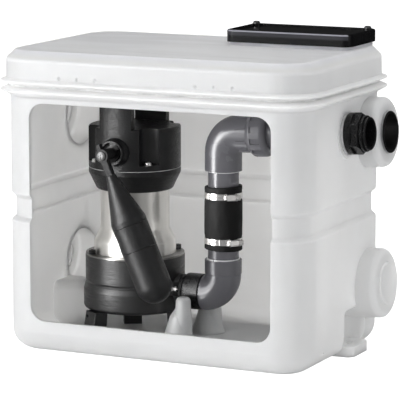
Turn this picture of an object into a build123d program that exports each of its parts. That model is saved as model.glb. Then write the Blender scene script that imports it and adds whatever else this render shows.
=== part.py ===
from build123d import *
import math
import os

# Sewage lifting station with a display window cut in its front wall.
# All sizes are millimetres. +X is to the outlet side, +Y to the back and +Z up.
# The origin is the middle of the tank's footprint, on the floor.

# Tank over its plain walls
TANK_WIDTH = 420.0
TANK_DEPTH = 280.0
CORNER_RADIUS = 44.0
WALL = 5.0
SOLE_RADIUS = 27.0
CORE_INSET = 40.0
WAIST_LOW = 168.0
WAIST_HIGH = 203.0
WAIST_DEPTH = 6.0
WAIST_SLOPE = 5.0
EDGE_RADIUS = 3.0
FLANGE_REACH = 12.3
FLANGE_ROOT = 329.0
FLANGE_TIP = 336.5
RIM_TOP = 341.5
RIM_LEDGE = 2.5

# Window in the front wall
WINDOW_LEFT = -166.0
WINDOW_RIGHT = 168.0
WINDOW_LOW = 42.0
WINDOW_HIGH = 322.0
WINDOW_RADIUS = 20.0

# Blind stubs on both end walls; all pipework leaves uphill at the same small angle
PIPE_RISE = 3.2
STUB_Y = 77.5
STUB_HEIGHTS = (280.0, 84.0)
STUB_RADIUS = 45.0
STUB_LENGTH = 26.0
STUB_ROUNDING = 8.0
STUB_DISC_RADIUS = 27.0
STUB_DISC_HEIGHT = 2.5
STUB_DRAFT = 0.8
HOLE_DRAFT = 0.3
INLET_HOLE = 25.6
INLET_BORE = 24.0

# Fixing pockets in the end walls, each over a floor lug
POCKET_Y = 33.0
POCKET_X = 212.0
POCKET_RADIUS = 35.0
POCKET_TOP = 60.5
LUG_TOP = 13.0
LUG_REACH = 219.0
LUG_LENGTH = 58.0
LUG_HOLE_X = 203.0
LUG_HOLE_RADIUS = 4.5

# Bell-shaped posts moulded up from the tank floor, one on each side of the discharge
POSTS = ((-1.0, -33.0), (3.0, 50.0))
POST_TOP = 67.0
MOUND_TOP = 57.0
MOUND_SHIFT = -7.0

# Small round mark left by the mould, low on the outlet end wall
GATE_MARK = (209.7, -68.3, 19.4)
GATE_RADIUS = 1.8

# Lid
GASKET_THICKNESS = 1.5
LID_BASE = RIM_TOP + GASKET_THICKNESS
LID_SIDE = 5.0
LID_SHOULDER = 376.0
LID_TOP = 387.5
LID_CHAMFER = 12.0
DIMPLE_X = (69.0, 94.0, 119.0)
DIMPLE_HEIGHT = 355.5
DIMPLE_RADIUS = 3.2

# Filter box on the lid
BOX_LEFT = 26.0
BOX_RIGHT = 200.0
BOX_FRONT = 33.0
BOX_BACK = 130.0
BOX_BASE = 391.7
BOX_TOP = 407.5
BOX_CORNER = 12.0
BOX_WALL = 3.0
PLINTH_INSET = 3.0
BOX_SCREW_X = (33.0, 189.5)
BOX_SCREW_Y = 120.0
VENT_RADIUS = 16.0

# Pump and discharge line share one vertical plane
LINE_Y = 3.5
PUMP_X = -88.0
FLOOR = WALL

# Pump casing
CASING_RADIUS = 65.0
CASING_SKIRT = 67.5
CASING_BASE = 41.0
CASING_TOP = 112.0
CASING_WALL = 7.0
CASING_ROOF = 8.0
GROOVE_HEIGHT = 76.0
COVER_SEAT = 60.0
COVER_THICKNESS = 6.0
SUCTION_RADIUS = 21.0
OUTLET_FACE = 70.5
OUTLET_BORE = 15.0
SOCKET_STOP = -4.2
FLANGE_SCREW_CIRCLE = 28.0
FLANGE_TURN = 77.0
FOOT_ANGLES = (0.0, 120.0, 240.0)
FOOT_RADIUS_TOP = 60.0
FOOT_RADIUS_FLOOR = 65.0
FOOT_WIDTH = 24.0
FOOT_DEPTH = 19.0
DIAGONALS = (45.0, 135.0, 225.0, 315.0)
CASING_SCREW_CIRCLE = 59.0

# Motor
SHELL_RADIUS = 45.0
BELL_RADIUS = 53.5
SHELL_WALL = 1.5
SHELL_FLANGE = 64.5
SHELL_TOP = 216.0
SHAFT_RADIUS = 6.0
BEARING_RADIUS = 16.0
BEARING_WIDTH = 10.0
STATOR_BORE = 22.5
ROTOR_RADIUS = 22.0
STACK_LOW = 146.0
STACK_HIGH = 194.0
CARRIER_TOP = 134.0
LOWER_BEARING = 122.0
UPPER_BEARING = 208.5
FIT = 0.05

# Pump head
HEAD_RADIUS = 60.0
HEAD_BASE = 198.5
HEAD_CONE_TOP = 220.5
HEAD_SEAM = 227.5
HEAD_TOP = 282.0
HEAD_WALL = 6.0
FLUTE_RADIUS = 14.0
FLUTE_CIRCLE = 62.0
FLUTE_BASE = 235.0
HEAD_SCREW_CIRCLE = 54.0
HANDLE_WIDTH = 45.5
HANDLE_LEG = 14.0
HANDLE_SEAT = 322.0
HANDLE_TOP = 338.0
HANDLE_SCREW = HEAD_RADIUS - HANDLE_LEG / 2
GLAND_X = -33.0
GLAND_BORE = 4.2

# Float switch
PIVOT_X = -86.5
PIVOT_Z = 252.8
BOSS_RADIUS = 16.5
BOSS_FACE = -68.0
ARM_PLANE = -90.0
FLOAT_HANG = 23.8
FLOAT_RADIUS = 23.0
FLOAT_LENGTH = 176.9
FLOAT_SHOULDER = 88.0
FLOAT_SEAMS = (95.5, 128.5)
FLOAT_WALL = 2.5
FLOAT_NECK_START = 27.0
CAM_LOW = 7.0
CAM_LIFT = 2.0
FLOAT_SWING = 75.0
SPINDLE_RADIUS = 4.0
SWITCH_Y = -41.5
PLUNGER_TIP = PIVOT_Z + CAM_LOW + 0.6
SWITCH_BASE = PLUNGER_TIP + 4.0

# Discharge line: 40 mm pipe with solvent-welded fittings
PIPE_X = 39.0
PIPE_RADIUS = 20.0
PIPE_BORE = 17.3
FITTING_RADIUS = 24.0
SPIGOT_BODY = 23.3
BEND_RADIUS = 26.0
DISCHARGE_HEIGHT = 68.0
LOWER_SOCKET_TOP = 114.0
UPPER_SOCKET_BASE = 229.5
BRANCH_HEIGHT = 277.7
SLEEVE_LOW = 127.3
SLEEVE_HIGH = 209.5
SLEEVE_RADIUS = 24.4
CLAMP_HEIGHTS = (139.0, 198.0)
CLAMP_ANGLES = (52.0, 43.0)
CLAMP_WIDTH = 7.8
CLAMP_SEAT = 23.9
BAND_THICKNESS = 0.8
WORM_OFFSET = CLAMP_SEAT + BAND_THICKNESS + 4.2
WORM_RADIUS = 3.2

# Stations along the rising branch, measured from the upper elbow's corner
NUT_START = 41.0
NUT_END = 68.0
NUT_RADIUS = 30.0
NUT_POCKETS = 12
POCKET_DEPTH = 1.6
ELBOW_RIBS = 8
ELBOW_END = 52.0
SEAL_END = 54.0
TAIL_COLLAR_END = 58.0
VALVE_SOCKET = 76.0
VALVE_START = 84.0
VALVE_SEAT = 101.0
VALVE_END = 136.0
VALVE_SOCKET_END = 151.0
VALVE_RADIUS = 27.5
VALVE_CHAMBER = 23.0
SEAT_BORE = 11.5
FLAP_RADIUS = 16.0
FLAP_PIVOT = 19.0
PIN_RADIUS = 1.5
TAIL_STOP = 137.0
INNER_FLANGE = 158.0
INNER_SEAL = 163.0
BOSS_INNER = 164.4
BOSS_OUTER = 172.3
BOSS_PAD = 33.0
SPOTFACE_RADIUS = 28.5
OUTER_GASKET = 175.3
OUTER_FLANGE = 184.0
HEX_END = 193.5
RING_START = 194.6
RING_END = 198.6
SPIGOT_END = 202.5
SPIGOT_RADIUS = 20.95
HEX_FLATS = 46.0


def outline(*corners):
    """Face through the (u, v) corners; a third value rounds that corner."""
    points = [Vector(corner[0], corner[1]) for corner in corners]
    radii = [corner[2] if len(corner) == 3 else 0.0 for corner in corners]
    count = len(points)
    entries, exits, arcs = [], [], []
    for i, (point, radius) in enumerate(zip(points, radii)):
        before = (points[i - 1] - point).normalized()
        after = (points[(i + 1) % count] - point).normalized()
        if radius == 0.0:
            entries.append(point)
            exits.append(point)
            arcs.append(None)
            continue
        half = math.radians(before.get_angle(after)) / 2
        setback = radius / math.tan(half)
        middle = point + (before + after).normalized() * (radius / math.sin(half) - radius)
        entries.append(point + before * setback)
        exits.append(point + after * setback)
        arcs.append(Edge.make_three_point_arc(entries[i], middle, exits[i]))
    edges = []
    for i in range(count):
        if arcs[i]:
            edges.append(arcs[i])
        run_end = entries[(i + 1) % count]
        if (run_end - exits[i]).length > 1e-6:
            edges.append(Edge.make_line(exits[i], run_end))
    return Face(Wire(edges))


def turned(*corners):
    """Solid of revolution about the Z axis from (radius, height) corners."""
    return revolve(Plane.XZ * outline(*corners), Axis.Z)


def rod(radius, low, high):
    """Plain cylinder on the Z axis from one height to another."""
    return Pos(0, 0, low) * Cylinder(radius, high - low, align=(Align.CENTER, Align.CENTER, Align.MIN))


def tube(outer, inner, low, high):
    """Straight tube on the Z axis."""
    return rod(outer, low, high) - rod(inner, low - 1, high + 1)


def block(x0, x1, y0, y1, z0, z1):
    """Box between two corners."""
    return Pos((x0 + x1) / 2, (y0 + y1) / 2, (z0 + z1) / 2) * Box(x1 - x0, y1 - y0, z1 - z0)


def plate(width, depth, radius, low, high):
    """Rounded rectangle on the Z axis, raised from one height to another."""
    return Pos(0, 0, low) * extrude(RectangleRounded(width, depth, radius), high - low)


def hexagon(flats, low, high):
    """Hexagonal prism on the Z axis, measured across its flats."""
    return Pos(0, 0, low) * extrude(RegularPolygon(flats / math.sqrt(3), 6), high - low)


def on_circle(radius, angle, height=0.0):
    """Place on a circle about the Z axis, turned to face outwards."""
    return Rot(0, 0, angle) * Pos(radius, 0, height)


def at_pump(shape):
    return Pos(PUMP_X, LINE_Y, 0) * shape


def at_riser(shape):
    return Pos(PIPE_X, LINE_Y, 0) * shape


def on_branch(shape):
    """Carry a shape made along Z onto the rising branch from the upper elbow."""
    return Location((PIPE_X, LINE_Y, BRANCH_HEIGHT), (0, 90 - PIPE_RISE, 0)) * shape


def on_float(shape):
    """Carry a shape made along Z onto the float's axis, from the pivot downwards."""
    return Location((PIVOT_X, ARM_PLANE, PIVOT_Z), (0, 180 - FLOAT_HANG, 0)) * shape


def on_pivot(shape):
    """Carry a shape made along Z onto the float's pivot; its Z then points to the front."""
    return Location((PIVOT_X, 0, PIVOT_Z), (90, 0, 0)) * shape


def around_plan(profile):
    """Carry an (offset, height) face round the tank's plan, offsets growing outwards."""
    reach_x = TANK_WIDTH / 2 - CORNER_RADIUS
    reach_y = TANK_DEPTH / 2 - CORNER_RADIUS
    upright = Plane.XZ * profile
    bend = revolve(Pos(CORNER_RADIUS, 0, 0) * upright, Axis.Z, 90)
    end_wall = Pos(TANK_WIDTH / 2, -reach_y, 0) * extrude(upright, 2 * reach_y, dir=(0, 1, 0))
    long_wall = Pos(TANK_DEPTH / 2, -reach_x, 0) * extrude(upright, 2 * reach_x, dir=(0, 1, 0))
    pieces = [end_wall, Rot(0, 0, 180) * end_wall, Rot(0, 0, 90) * long_wall, Rot(0, 0, 270) * long_wall]
    for x, y, turn in ((1, 1, 0), (-1, 1, 90), (-1, -1, 180), (1, -1, 270)):
        pieces.append(Pos(x * reach_x, y * reach_y, 0) * Rot(0, 0, turn) * bend)
    return Part() + pieces


def filled_form(low, high, *corners):
    """Solid filling the tank's plan, with the given edge outline."""
    inside = -CORE_INSET
    profile = outline((inside, low), *corners, (inside, high))
    core = plate(TANK_WIDTH + 2 * inside, TANK_DEPTH + 2 * inside, CORNER_RADIUS + inside, low, high)
    return around_plan(profile) + core


def tank_outside():
    return filled_form(
        0.0, RIM_TOP,
        (0, 0, SOLE_RADIUS),
        (0, WAIST_LOW, EDGE_RADIUS),
        (-WAIST_DEPTH, WAIST_LOW + WAIST_SLOPE, EDGE_RADIUS),
        (-WAIST_DEPTH, WAIST_HIGH - WAIST_SLOPE, EDGE_RADIUS),
        (0, WAIST_HIGH, EDGE_RADIUS),
        (0, FLANGE_ROOT, EDGE_RADIUS),
        (FLANGE_REACH, FLANGE_TIP - 1, 0.8),
        (FLANGE_REACH, FLANGE_TIP + 1, 0.8),
        (RIM_LEDGE, RIM_TOP),
    )


def tank_inside():
    waist = -WAIST_DEPTH - WALL
    return filled_form(
        FLOOR, RIM_TOP + 3,
        (-WALL, FLOOR, SOLE_RADIUS - WALL),
        (-WALL, WAIST_LOW - 1.5, EDGE_RADIUS),
        (waist, WAIST_LOW + WAIST_SLOPE - 1.5, EDGE_RADIUS),
        (waist, WAIST_HIGH - WAIST_SLOPE + 1.5, EDGE_RADIUS),
        (-WALL, WAIST_HIGH + 1.5, EDGE_RADIUS),
        (-WALL, RIM_TOP + 3),
    )


def stub_place(side, height):
    """Frame of a stub: Z points out of the end wall and slightly up."""
    return Location((side * TANK_WIDTH / 2, STUB_Y, height), (0, side * (90 - PIPE_RISE), 0))


def stub_outside():
    root = -20.0
    end = STUB_LENGTH
    raised = end + STUB_DISC_HEIGHT
    return turned(
        (0, root),
        (STUB_RADIUS, root),
        (STUB_RADIUS, end, STUB_ROUNDING),
        (STUB_DISC_RADIUS, end, 1.0),
        (STUB_DISC_RADIUS, raised, 1.0),
        (0, raised),
    )


def stub_inside():
    root = -45.0
    end = STUB_LENGTH - WALL
    bore = STUB_RADIUS - WALL
    disc = STUB_DISC_RADIUS - WALL
    raised = end + STUB_DISC_HEIGHT
    return turned(
        (0, root),
        (bore + STUB_DRAFT, root),
        (bore, end, STUB_ROUNDING - 4),
        (disc, end),
        (disc, raised),
        (0, raised),
    )


def pocket_column(side, radius, low, high, rounding):
    """Upright half-round column standing in an end wall, with a rounded top."""
    column = turned((0, low), (radius, low), (radius, high, rounding), (0, high))
    return Pos(side * POCKET_X, POCKET_Y, 0) * column


def fixing_lug(side):
    inner = 180.0
    middle = side * (inner + LUG_REACH) / 2
    slab = plate(LUG_REACH - inner, LUG_LENGTH, 10.0, 0.0, LUG_TOP)
    return Pos(middle, POCKET_Y, 0) * slab


def post(x, y, inset):
    """Bell-shaped post leaning on a lower mound, shrunk by the inset to give the hollow under it."""
    foot = 0.0
    column = turned(
        (0, foot), (13.0 - inset, foot), (10.8 - inset, 42.0, 30),
        (9.2 - inset, POST_TOP - inset, 6.0 - inset / 2), (0, POST_TOP - inset),
    )
    mound = turned(
        (0, foot), (24.5 - inset, foot), (17.5 - inset, 20.0 - inset, 12.0),
        (11.0 - inset, 41.0 - inset, 6.0), (0, MOUND_TOP - 1.6 * inset),
    )
    return Pos(x, y, 0) * column + Pos(x + MOUND_SHIFT, y, 0) * mound


def drafted_hole(radius, low, high):
    """Cutter for a moulded hole on the Z axis that widens a little outwards."""
    return turned((0, low), (radius, low), (radius + HOLE_DRAFT, high), (0, high))


def make_tank():
    outside = tank_outside()
    body = outside
    for side in (-1, 1):
        for height in STUB_HEIGHTS:
            body += stub_place(side, height) * stub_outside()
    body -= tank_inside()
    for side in (-1, 1):
        low_stub = stub_place(side, STUB_HEIGHTS[1])
        for height in STUB_HEIGHTS:
            body -= stub_place(side, height) * stub_inside()
        column = pocket_column(side, POCKET_RADIUS + WALL, 0.0, POCKET_TOP + WALL, 12.0)
        body += (column & outside) - low_stub * stub_inside()
        body += fixing_lug(side)
        hollow = pocket_column(side, POCKET_RADIUS, LUG_TOP, POCKET_TOP, 8.0) & outside
        body -= hollow - low_stub * rod(STUB_RADIUS, -45.0, STUB_LENGTH)
        body -= Pos(side * LUG_HOLE_X, POCKET_Y, 0) * rod(LUG_HOLE_RADIUS, -1.0, LUG_TOP + 1)
    for x, y in POSTS:
        body += post(x, y, 0.0)
        body -= Pos(0, 0, -0.01) * post(x, y, WALL)
    body += on_branch(rod(BOSS_PAD, BOSS_INNER, BOSS_OUTER))
    body -= on_branch(drafted_hole(SPOTFACE_RADIUS, BOSS_OUTER, BOSS_OUTER + 5))
    body -= on_branch(drafted_hole(SPIGOT_RADIUS + FIT, BOSS_INNER - 5, BOSS_OUTER + 5))
    inlet = stub_place(1, STUB_HEIGHTS[0])
    body -= inlet * drafted_hole(INLET_HOLE, 0.0, STUB_LENGTH + 10)
    body -= Pos(*GATE_MARK) * Sphere(GATE_RADIUS)
    window_width = WINDOW_RIGHT - WINDOW_LEFT
    window_height = WINDOW_HIGH - WINDOW_LOW
    frame = RectangleRounded(window_width, window_height, WINDOW_RADIUS)
    window = Plane.XZ * extrude(frame, 60, both=True)
    middle_x = (WINDOW_LEFT + WINDOW_RIGHT) / 2
    middle_z = (WINDOW_LOW + WINDOW_HIGH) / 2
    window_y = -TANK_DEPTH / 2 - 35
    body -= Pos(middle_x, window_y, middle_z) * window
    return body


def make_inlet_seal():
    """Rubber sleeve with an outer collar, an inner lock rim and a sealing lip."""
    face = STUB_LENGTH + STUB_DISC_HEIGHT
    back = STUB_LENGTH - WALL
    seal = turned(
        (INLET_BORE, face + 1.5, 0.6),
        (26.8, face + 1.5, 0.6),
        (26.8, face),
        (INLET_HOLE - FIT, face),
        (INLET_HOLE - FIT, back),
        (28.0, back - 2.5, 1.0),
        (INLET_HOLE, back - 5.0),
        (INLET_HOLE, -6.0, 0.8),
        (INLET_BORE - 1.2, -6.0, 0.8),
        (INLET_BORE, 4.0),
    )
    return stub_place(1, STUB_HEIGHTS[0]) * seal


def make_lid():
    chamfered = LID_SIDE - LID_CHAMFER
    outside = filled_form(
        LID_BASE, LID_TOP,
        (RIM_LEDGE, LID_BASE),
        (FLANGE_REACH, LID_BASE + 4.0, 0.8),
        (FLANGE_REACH, LID_BASE + 5.6, 0.8),
        (LID_SIDE + 0.5, LID_BASE + 8.5, 1.5),
        (LID_SIDE, LID_SHOULDER, 7.0),
        (chamfered, LID_TOP, 5.0),
    )
    inside = filled_form(
        LID_BASE - 3, LID_TOP - WALL,
        (-WALL, LID_BASE - 3),
        (-WALL, LID_BASE + 5, 2.0),
        (LID_SIDE - WALL, LID_BASE + 9, 2.0),
        (LID_SIDE - WALL, LID_SHOULDER - 2, 5.0),
        (chamfered - 2, LID_TOP - WALL, 5.0),
    )
    lid = outside - inside
    width = BOX_RIGHT - BOX_LEFT - 2 * PLINTH_INSET
    depth = BOX_BACK - BOX_FRONT - 2 * PLINTH_INSET
    plinth = plate(width, depth, BOX_CORNER - 2, LID_TOP - WALL, BOX_BASE)
    lid += box_place() * plinth
    lid -= box_place() * rod(VENT_RADIUS, LID_TOP - WALL - 1, BOX_BASE + 1)
    for x in DIMPLE_X:
        for side in (-1, 1):
            front = -TANK_DEPTH / 2 - LID_SIDE - DIMPLE_RADIUS + 1.0
            lid -= Pos(side * x, front, DIMPLE_HEIGHT) * Sphere(DIMPLE_RADIUS)
    for x in BOX_SCREW_X:
        lid -= Pos(x, BOX_SCREW_Y, 0) * rod(2.0, LID_TOP - WALL + 1, BOX_BASE + 1)
    return lid


def make_lid_gasket():
    """Flat ring between the tank's rim and the lid."""
    inner = -WALL + 0.5
    outer = RIM_LEDGE - 1.0
    return around_plan(outline((inner, RIM_TOP), (outer, RIM_TOP), (outer, LID_BASE), (inner, LID_BASE)))


def box_place():
    return Pos((BOX_LEFT + BOX_RIGHT) / 2, (BOX_FRONT + BOX_BACK) / 2, 0)


def make_filter_cover():
    """Glossy cover with a raised rim round its top and two screw bosses at the back."""
    width = BOX_RIGHT - BOX_LEFT
    depth = BOX_BACK - BOX_FRONT
    rim = 5.0
    dish = 2.2
    shell = plate(width, depth, BOX_CORNER, BOX_BASE, BOX_TOP)
    shell = fillet(shell.edges().group_by(Axis.Z)[-1], 2.5)
    tray = plate(width - 2 * rim, depth - 2 * rim, BOX_CORNER - rim, BOX_TOP - dish, BOX_TOP + 1)
    shell -= fillet(tray.edges().group_by(Axis.Z)[0], 1.2)
    roof = BOX_TOP - dish - BOX_WALL
    shell -= plate(width - 2 * BOX_WALL, depth - 2 * BOX_WALL, BOX_CORNER - BOX_WALL, BOX_BASE - 1, roof)
    cover = box_place() * shell
    for x in BOX_SCREW_X:
        boss = Pos(x, BOX_SCREW_Y, 0) * rod(6.0, BOX_BASE, BOX_TOP)
        cover += boss
        cover -= Pos(x, BOX_SCREW_Y, 0) * rod(2.0, BOX_BASE - 1, BOX_TOP + 1)
    return cover


def make_filter_screws():
    screw = turned(
        (0, BOX_BASE - 6), (1.9, BOX_BASE - 6), (1.9, BOX_TOP), (4.6, BOX_TOP),
        (4.6, BOX_TOP + 2.2, 1.4), (3.0, BOX_TOP + 3.4, 1.0), (0, BOX_TOP + 3.6),
    )
    screw -= Pos(0, 0, BOX_TOP + 3.4) * Box(5.0, 1.0, 1.6)
    screw -= Pos(0, 0, BOX_TOP + 3.4) * Box(1.0, 5.0, 1.6)
    return [Pos(x, BOX_SCREW_Y, 0) * screw for x in BOX_SCREW_X]


def make_carbon_filter():
    """Ribbed slab of active carbon over the vent."""
    slab = box_place() * plate(112.0, 62.0, 6.0, BOX_BASE, BOX_BASE + 9.0)
    for i in range(-5, 6):
        slab -= box_place() * Pos(i * 9.0, 0, BOX_BASE + 9.0) * Box(3.0, 50.0, 4.0)
    return slab


def make_outlet_body():
    """Bulkhead fitting: tail, inner flange and the threaded spigot outside the wall."""
    thread = []
    pitch = 2.3
    turns = 7
    for i in range(turns):
        z = SPIGOT_END - 2.5 - i * pitch
        thread.append((z, z - pitch / 2))
    body = turned(
        (PIPE_BORE, TAIL_STOP), (PIPE_RADIUS, TAIL_STOP), (PIPE_RADIUS, INNER_FLANGE),
        (28.0, INNER_FLANGE, 1.0), (28.0, INNER_SEAL), (SPIGOT_RADIUS, INNER_SEAL),
        (SPIGOT_RADIUS, SPIGOT_END, 1.2), (PIPE_BORE, SPIGOT_END, 1.0),
    )
    for high, low in thread:
        ring = turned(
            (SPIGOT_RADIUS - 0.9, (high + low) / 2), (SPIGOT_RADIUS + 1, low - 0.6),
            (SPIGOT_RADIUS + 1, high + 0.6),
        )
        body -= ring
    return on_branch(body)


def make_outlet_seals():
    inner = tube(27.5, SPIGOT_RADIUS + FIT, INNER_SEAL, BOSS_INNER)
    return on_branch(inner)


def make_outlet_gasket():
    return on_branch(turned(
        (SPIGOT_RADIUS + FIT, BOSS_OUTER), (27.2, BOSS_OUTER), (27.2, OUTER_GASKET, 1.0),
        (SPIGOT_RADIUS + FIT, OUTER_GASKET),
    ))


def make_outlet_nut():
    """Black back nut: round flange and hexagon in one piece."""
    flange = turned(
        (SPIGOT_RADIUS + FIT, OUTER_GASKET), (26.4, OUTER_GASKET, 1.0), (26.4, OUTER_FLANGE, 2.0),
        (SPIGOT_RADIUS + FIT, OUTER_FLANGE),
    )
    crown = turned(
        (0, OUTER_FLANGE - 1), (HEX_FLATS / math.sqrt(3) + 1, OUTER_FLANGE - 1),
        (HEX_FLATS / math.sqrt(3) + 1, HEX_END - 3), (HEX_FLATS / 2, HEX_END), (0, HEX_END),
    )
    hexed = hexagon(HEX_FLATS, OUTER_FLANGE - 1, HEX_END) & crown
    hexed -= rod(SPIGOT_RADIUS + FIT, OUTER_FLANGE - 2, HEX_END + 1)
    return on_branch(flange + hexed)


def make_outlet_ring():
    return on_branch(turned(
        (SPIGOT_RADIUS + FIT, RING_START), (22.9, RING_START, 1.0), (22.9, RING_END, 1.4),
        (SPIGOT_RADIUS + FIT, RING_END),
    ))


def bend(outer, inner, sweep_angle):
    """Curved pipe from the origin along +Z, turning towards +X by the given angle."""
    path_axis = Axis((BEND_RADIUS, 0, 0), (0, 1, 0))
    ring = Circle(outer) - Circle(inner) if inner else Circle(outer)
    return revolve(ring, path_axis, sweep_angle)


def make_upper_elbow():
    """Socket elbow whose branch leaves a little above level."""
    turn = 90 - PIPE_RISE
    setback = BEND_RADIUS * math.tan(math.radians(turn / 2))
    start = BRANCH_HEIGHT - setback
    riser = at_riser(tube(FITTING_RADIUS, PIPE_BORE, UPPER_SOCKET_BASE, start))
    curve = Pos(PIPE_X, LINE_Y, start) * bend(FITTING_RADIUS, PIPE_BORE, turn)
    branch = on_branch(tube(FITTING_RADIUS, PIPE_BORE, setback, ELBOW_END))
    elbow = riser + curve + branch
    elbow -= at_riser(rod(PIPE_RADIUS, UPPER_SOCKET_BASE - 1, start))
    rib = block(FITTING_RADIUS - 2, FITTING_RADIUS + 1.2, -2.0, 2.0, setback + 1.0, NUT_START - 0.5)
    for i in range(ELBOW_RIBS):
        elbow += on_branch(Rot(0, 0, (i + 0.5) * 360 / ELBOW_RIBS) * rib)
    return elbow


def make_lower_elbow():
    """Elbow with a spigot into the pump's socket and a socket for the lower pipe."""
    corner = PIPE_X - BEND_RADIUS
    socket_start = DISCHARGE_HEIGHT + BEND_RADIUS
    level = Location((corner, LINE_Y, DISCHARGE_HEIGHT), (0, 90, 0))
    curve = level * Rot(0, 0, 180) * bend(SPIGOT_BODY, PIPE_BORE, 90)
    spigot = level * tube(PIPE_RADIUS, PIPE_BORE, -17.0, 0.0)
    socket = at_riser(turned(
        (PIPE_BORE, socket_start), (SPIGOT_BODY, socket_start), (FITTING_RADIUS, socket_start + 2.0, 1.0),
        (FITTING_RADIUS, LOWER_SOCKET_TOP, 0.8),
        (PIPE_BORE, LOWER_SOCKET_TOP),
    ))
    elbow = curve + spigot + socket
    elbow -= at_riser(rod(PIPE_RADIUS, socket_start, LOWER_SOCKET_TOP + 1))
    return elbow


def make_lower_pipe():
    return at_riser(tube(PIPE_RADIUS, PIPE_BORE, DISCHARGE_HEIGHT + BEND_RADIUS, 160.0))


def make_upper_pipe():
    turn = 90 - PIPE_RISE
    end = BRANCH_HEIGHT - BEND_RADIUS * math.tan(math.radians(turn / 2))
    return at_riser(tube(PIPE_RADIUS, PIPE_BORE, 176.0, end))


def make_joint_beads():
    """Beads of solvent cement where the two pipes enter their sockets."""
    low = turned(
        (PIPE_RADIUS, LOWER_SOCKET_TOP), (PIPE_RADIUS + 1.6, LOWER_SOCKET_TOP),
        (PIPE_RADIUS + 1.2, LOWER_SOCKET_TOP + 1.0), (PIPE_RADIUS, LOWER_SOCKET_TOP + 1.3),
    )
    high = turned(
        (PIPE_RADIUS, UPPER_SOCKET_BASE), (PIPE_RADIUS + 1.8, UPPER_SOCKET_BASE),
        (PIPE_RADIUS + 1.3, UPPER_SOCKET_BASE - 1.2), (PIPE_RADIUS, UPPER_SOCKET_BASE - 1.5),
    )
    return [at_riser(low), at_riser(high)]


def make_sleeve():
    """Rubber connector, drawn in a little where the clamps bite."""
    half = CLAMP_WIDTH / 2 + 0.6
    low_clamp, high_clamp = CLAMP_HEIGHTS
    return at_riser(turned(
        (PIPE_RADIUS, SLEEVE_LOW), (SLEEVE_RADIUS, SLEEVE_LOW, 1.0),
        (SLEEVE_RADIUS, low_clamp - half - 1.5, 1.0), (CLAMP_SEAT, low_clamp - half),
        (CLAMP_SEAT, low_clamp + half), (SLEEVE_RADIUS, low_clamp + half + 2.5, 1.5),
        (SLEEVE_RADIUS, high_clamp - half - 2.5, 1.5), (CLAMP_SEAT, high_clamp - half),
        (CLAMP_SEAT, high_clamp + half), (SLEEVE_RADIUS, high_clamp + half + 1.5, 1.0),
        (SLEEVE_RADIUS, SLEEVE_HIGH, 1.0), (PIPE_RADIUS, SLEEVE_HIGH),
    ))


def clamp_place(height, angle):
    """Frame on the sleeve where a clamp's worm lies; X points outwards and Y along the worm."""
    return Pos(PIPE_X, LINE_Y, height) * Rot(0, 0, angle - 90)


def make_clamp_band(height, angle):
    """Steel band with its worm housing."""
    band = tube(CLAMP_SEAT + BAND_THICKNESS, CLAMP_SEAT, -CLAMP_WIDTH / 2, CLAMP_WIDTH / 2)
    overlap = tube(CLAMP_SEAT + 2 * BAND_THICKNESS, CLAMP_SEAT, -CLAMP_WIDTH / 2, CLAMP_WIDTH / 2)
    sector = block(0, 40, -16, 6, -10, 10)
    seat = CLAMP_SEAT + BAND_THICKNESS - 0.4
    saddle = Pos(seat + 4.0, 0, 0) * Box(8.0, 11.5, CLAMP_WIDTH + 1.5)
    saddle = fillet(saddle.edges().filter_by(Axis.Y).group_by(Axis.X)[-1], 2.8)
    saddle -= rod(CLAMP_SEAT + BAND_THICKNESS / 2, -10, 10)
    bore = Pos(WORM_OFFSET, 0, 0) * Rot(90, 0, 0) * rod(WORM_RADIUS + 0.1, -20, 20)
    clamp = band + (overlap & sector) + saddle - bore
    return clamp_place(height, angle) * clamp


def make_clamp_screw(height, angle):
    """Worm screw with a slotted hexagon head."""
    screw = rod(WORM_RADIUS, -8.0, 8.5)
    for i in range(5):
        z = -4.4 + i * 2.2
        screw -= tube(WORM_RADIUS + 1, WORM_RADIUS - 0.6, z, z + 0.9)
    screw += rod(4.6, 7.2, 8.5) + hexagon(7.0, 8.5, 12.6)
    screw -= Pos(0, 0, 12.6) * Box(8.2, 1.0, 2.6)
    return clamp_place(height, angle) * Pos(WORM_OFFSET, 0, 0) * Rot(-90, 0, 0) * screw


def make_union_nut():
    """Large nut with grip pockets that draws the valve's tail onto the elbow."""
    nut = turned(
        (FITTING_RADIUS + 0.1, NUT_START), (FITTING_RADIUS + 1.5, NUT_START),
        (NUT_RADIUS, NUT_START + 6.0, 1.5), (NUT_RADIUS, NUT_END, 7.0), (PIPE_RADIUS + 0.2, NUT_END),
        (PIPE_RADIUS + 0.2, TAIL_COLLAR_END), (FITTING_RADIUS + 0.1, TAIL_COLLAR_END),
    )
    floor = NUT_RADIUS - POCKET_DEPTH
    pocket = block(floor, NUT_RADIUS + 2, -3.8, 3.8, NUT_START + 7.5, NUT_END - 6.5)
    for i in range(NUT_POCKETS):
        nut -= Rot(0, 0, (i + 0.5) * 360 / NUT_POCKETS) * pocket
    return on_branch(nut)


def make_union_seal():
    return on_branch(tube(FITTING_RADIUS - 0.6, PIPE_BORE + 0.7, ELBOW_END, SEAL_END))


def make_union_tail():
    return on_branch(turned(
        (PIPE_BORE, SEAL_END), (FITTING_RADIUS, SEAL_END), (FITTING_RADIUS, TAIL_COLLAR_END),
        (PIPE_RADIUS, TAIL_COLLAR_END), (PIPE_RADIUS, VALVE_START), (PIPE_BORE, VALVE_START),
    ))


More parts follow.
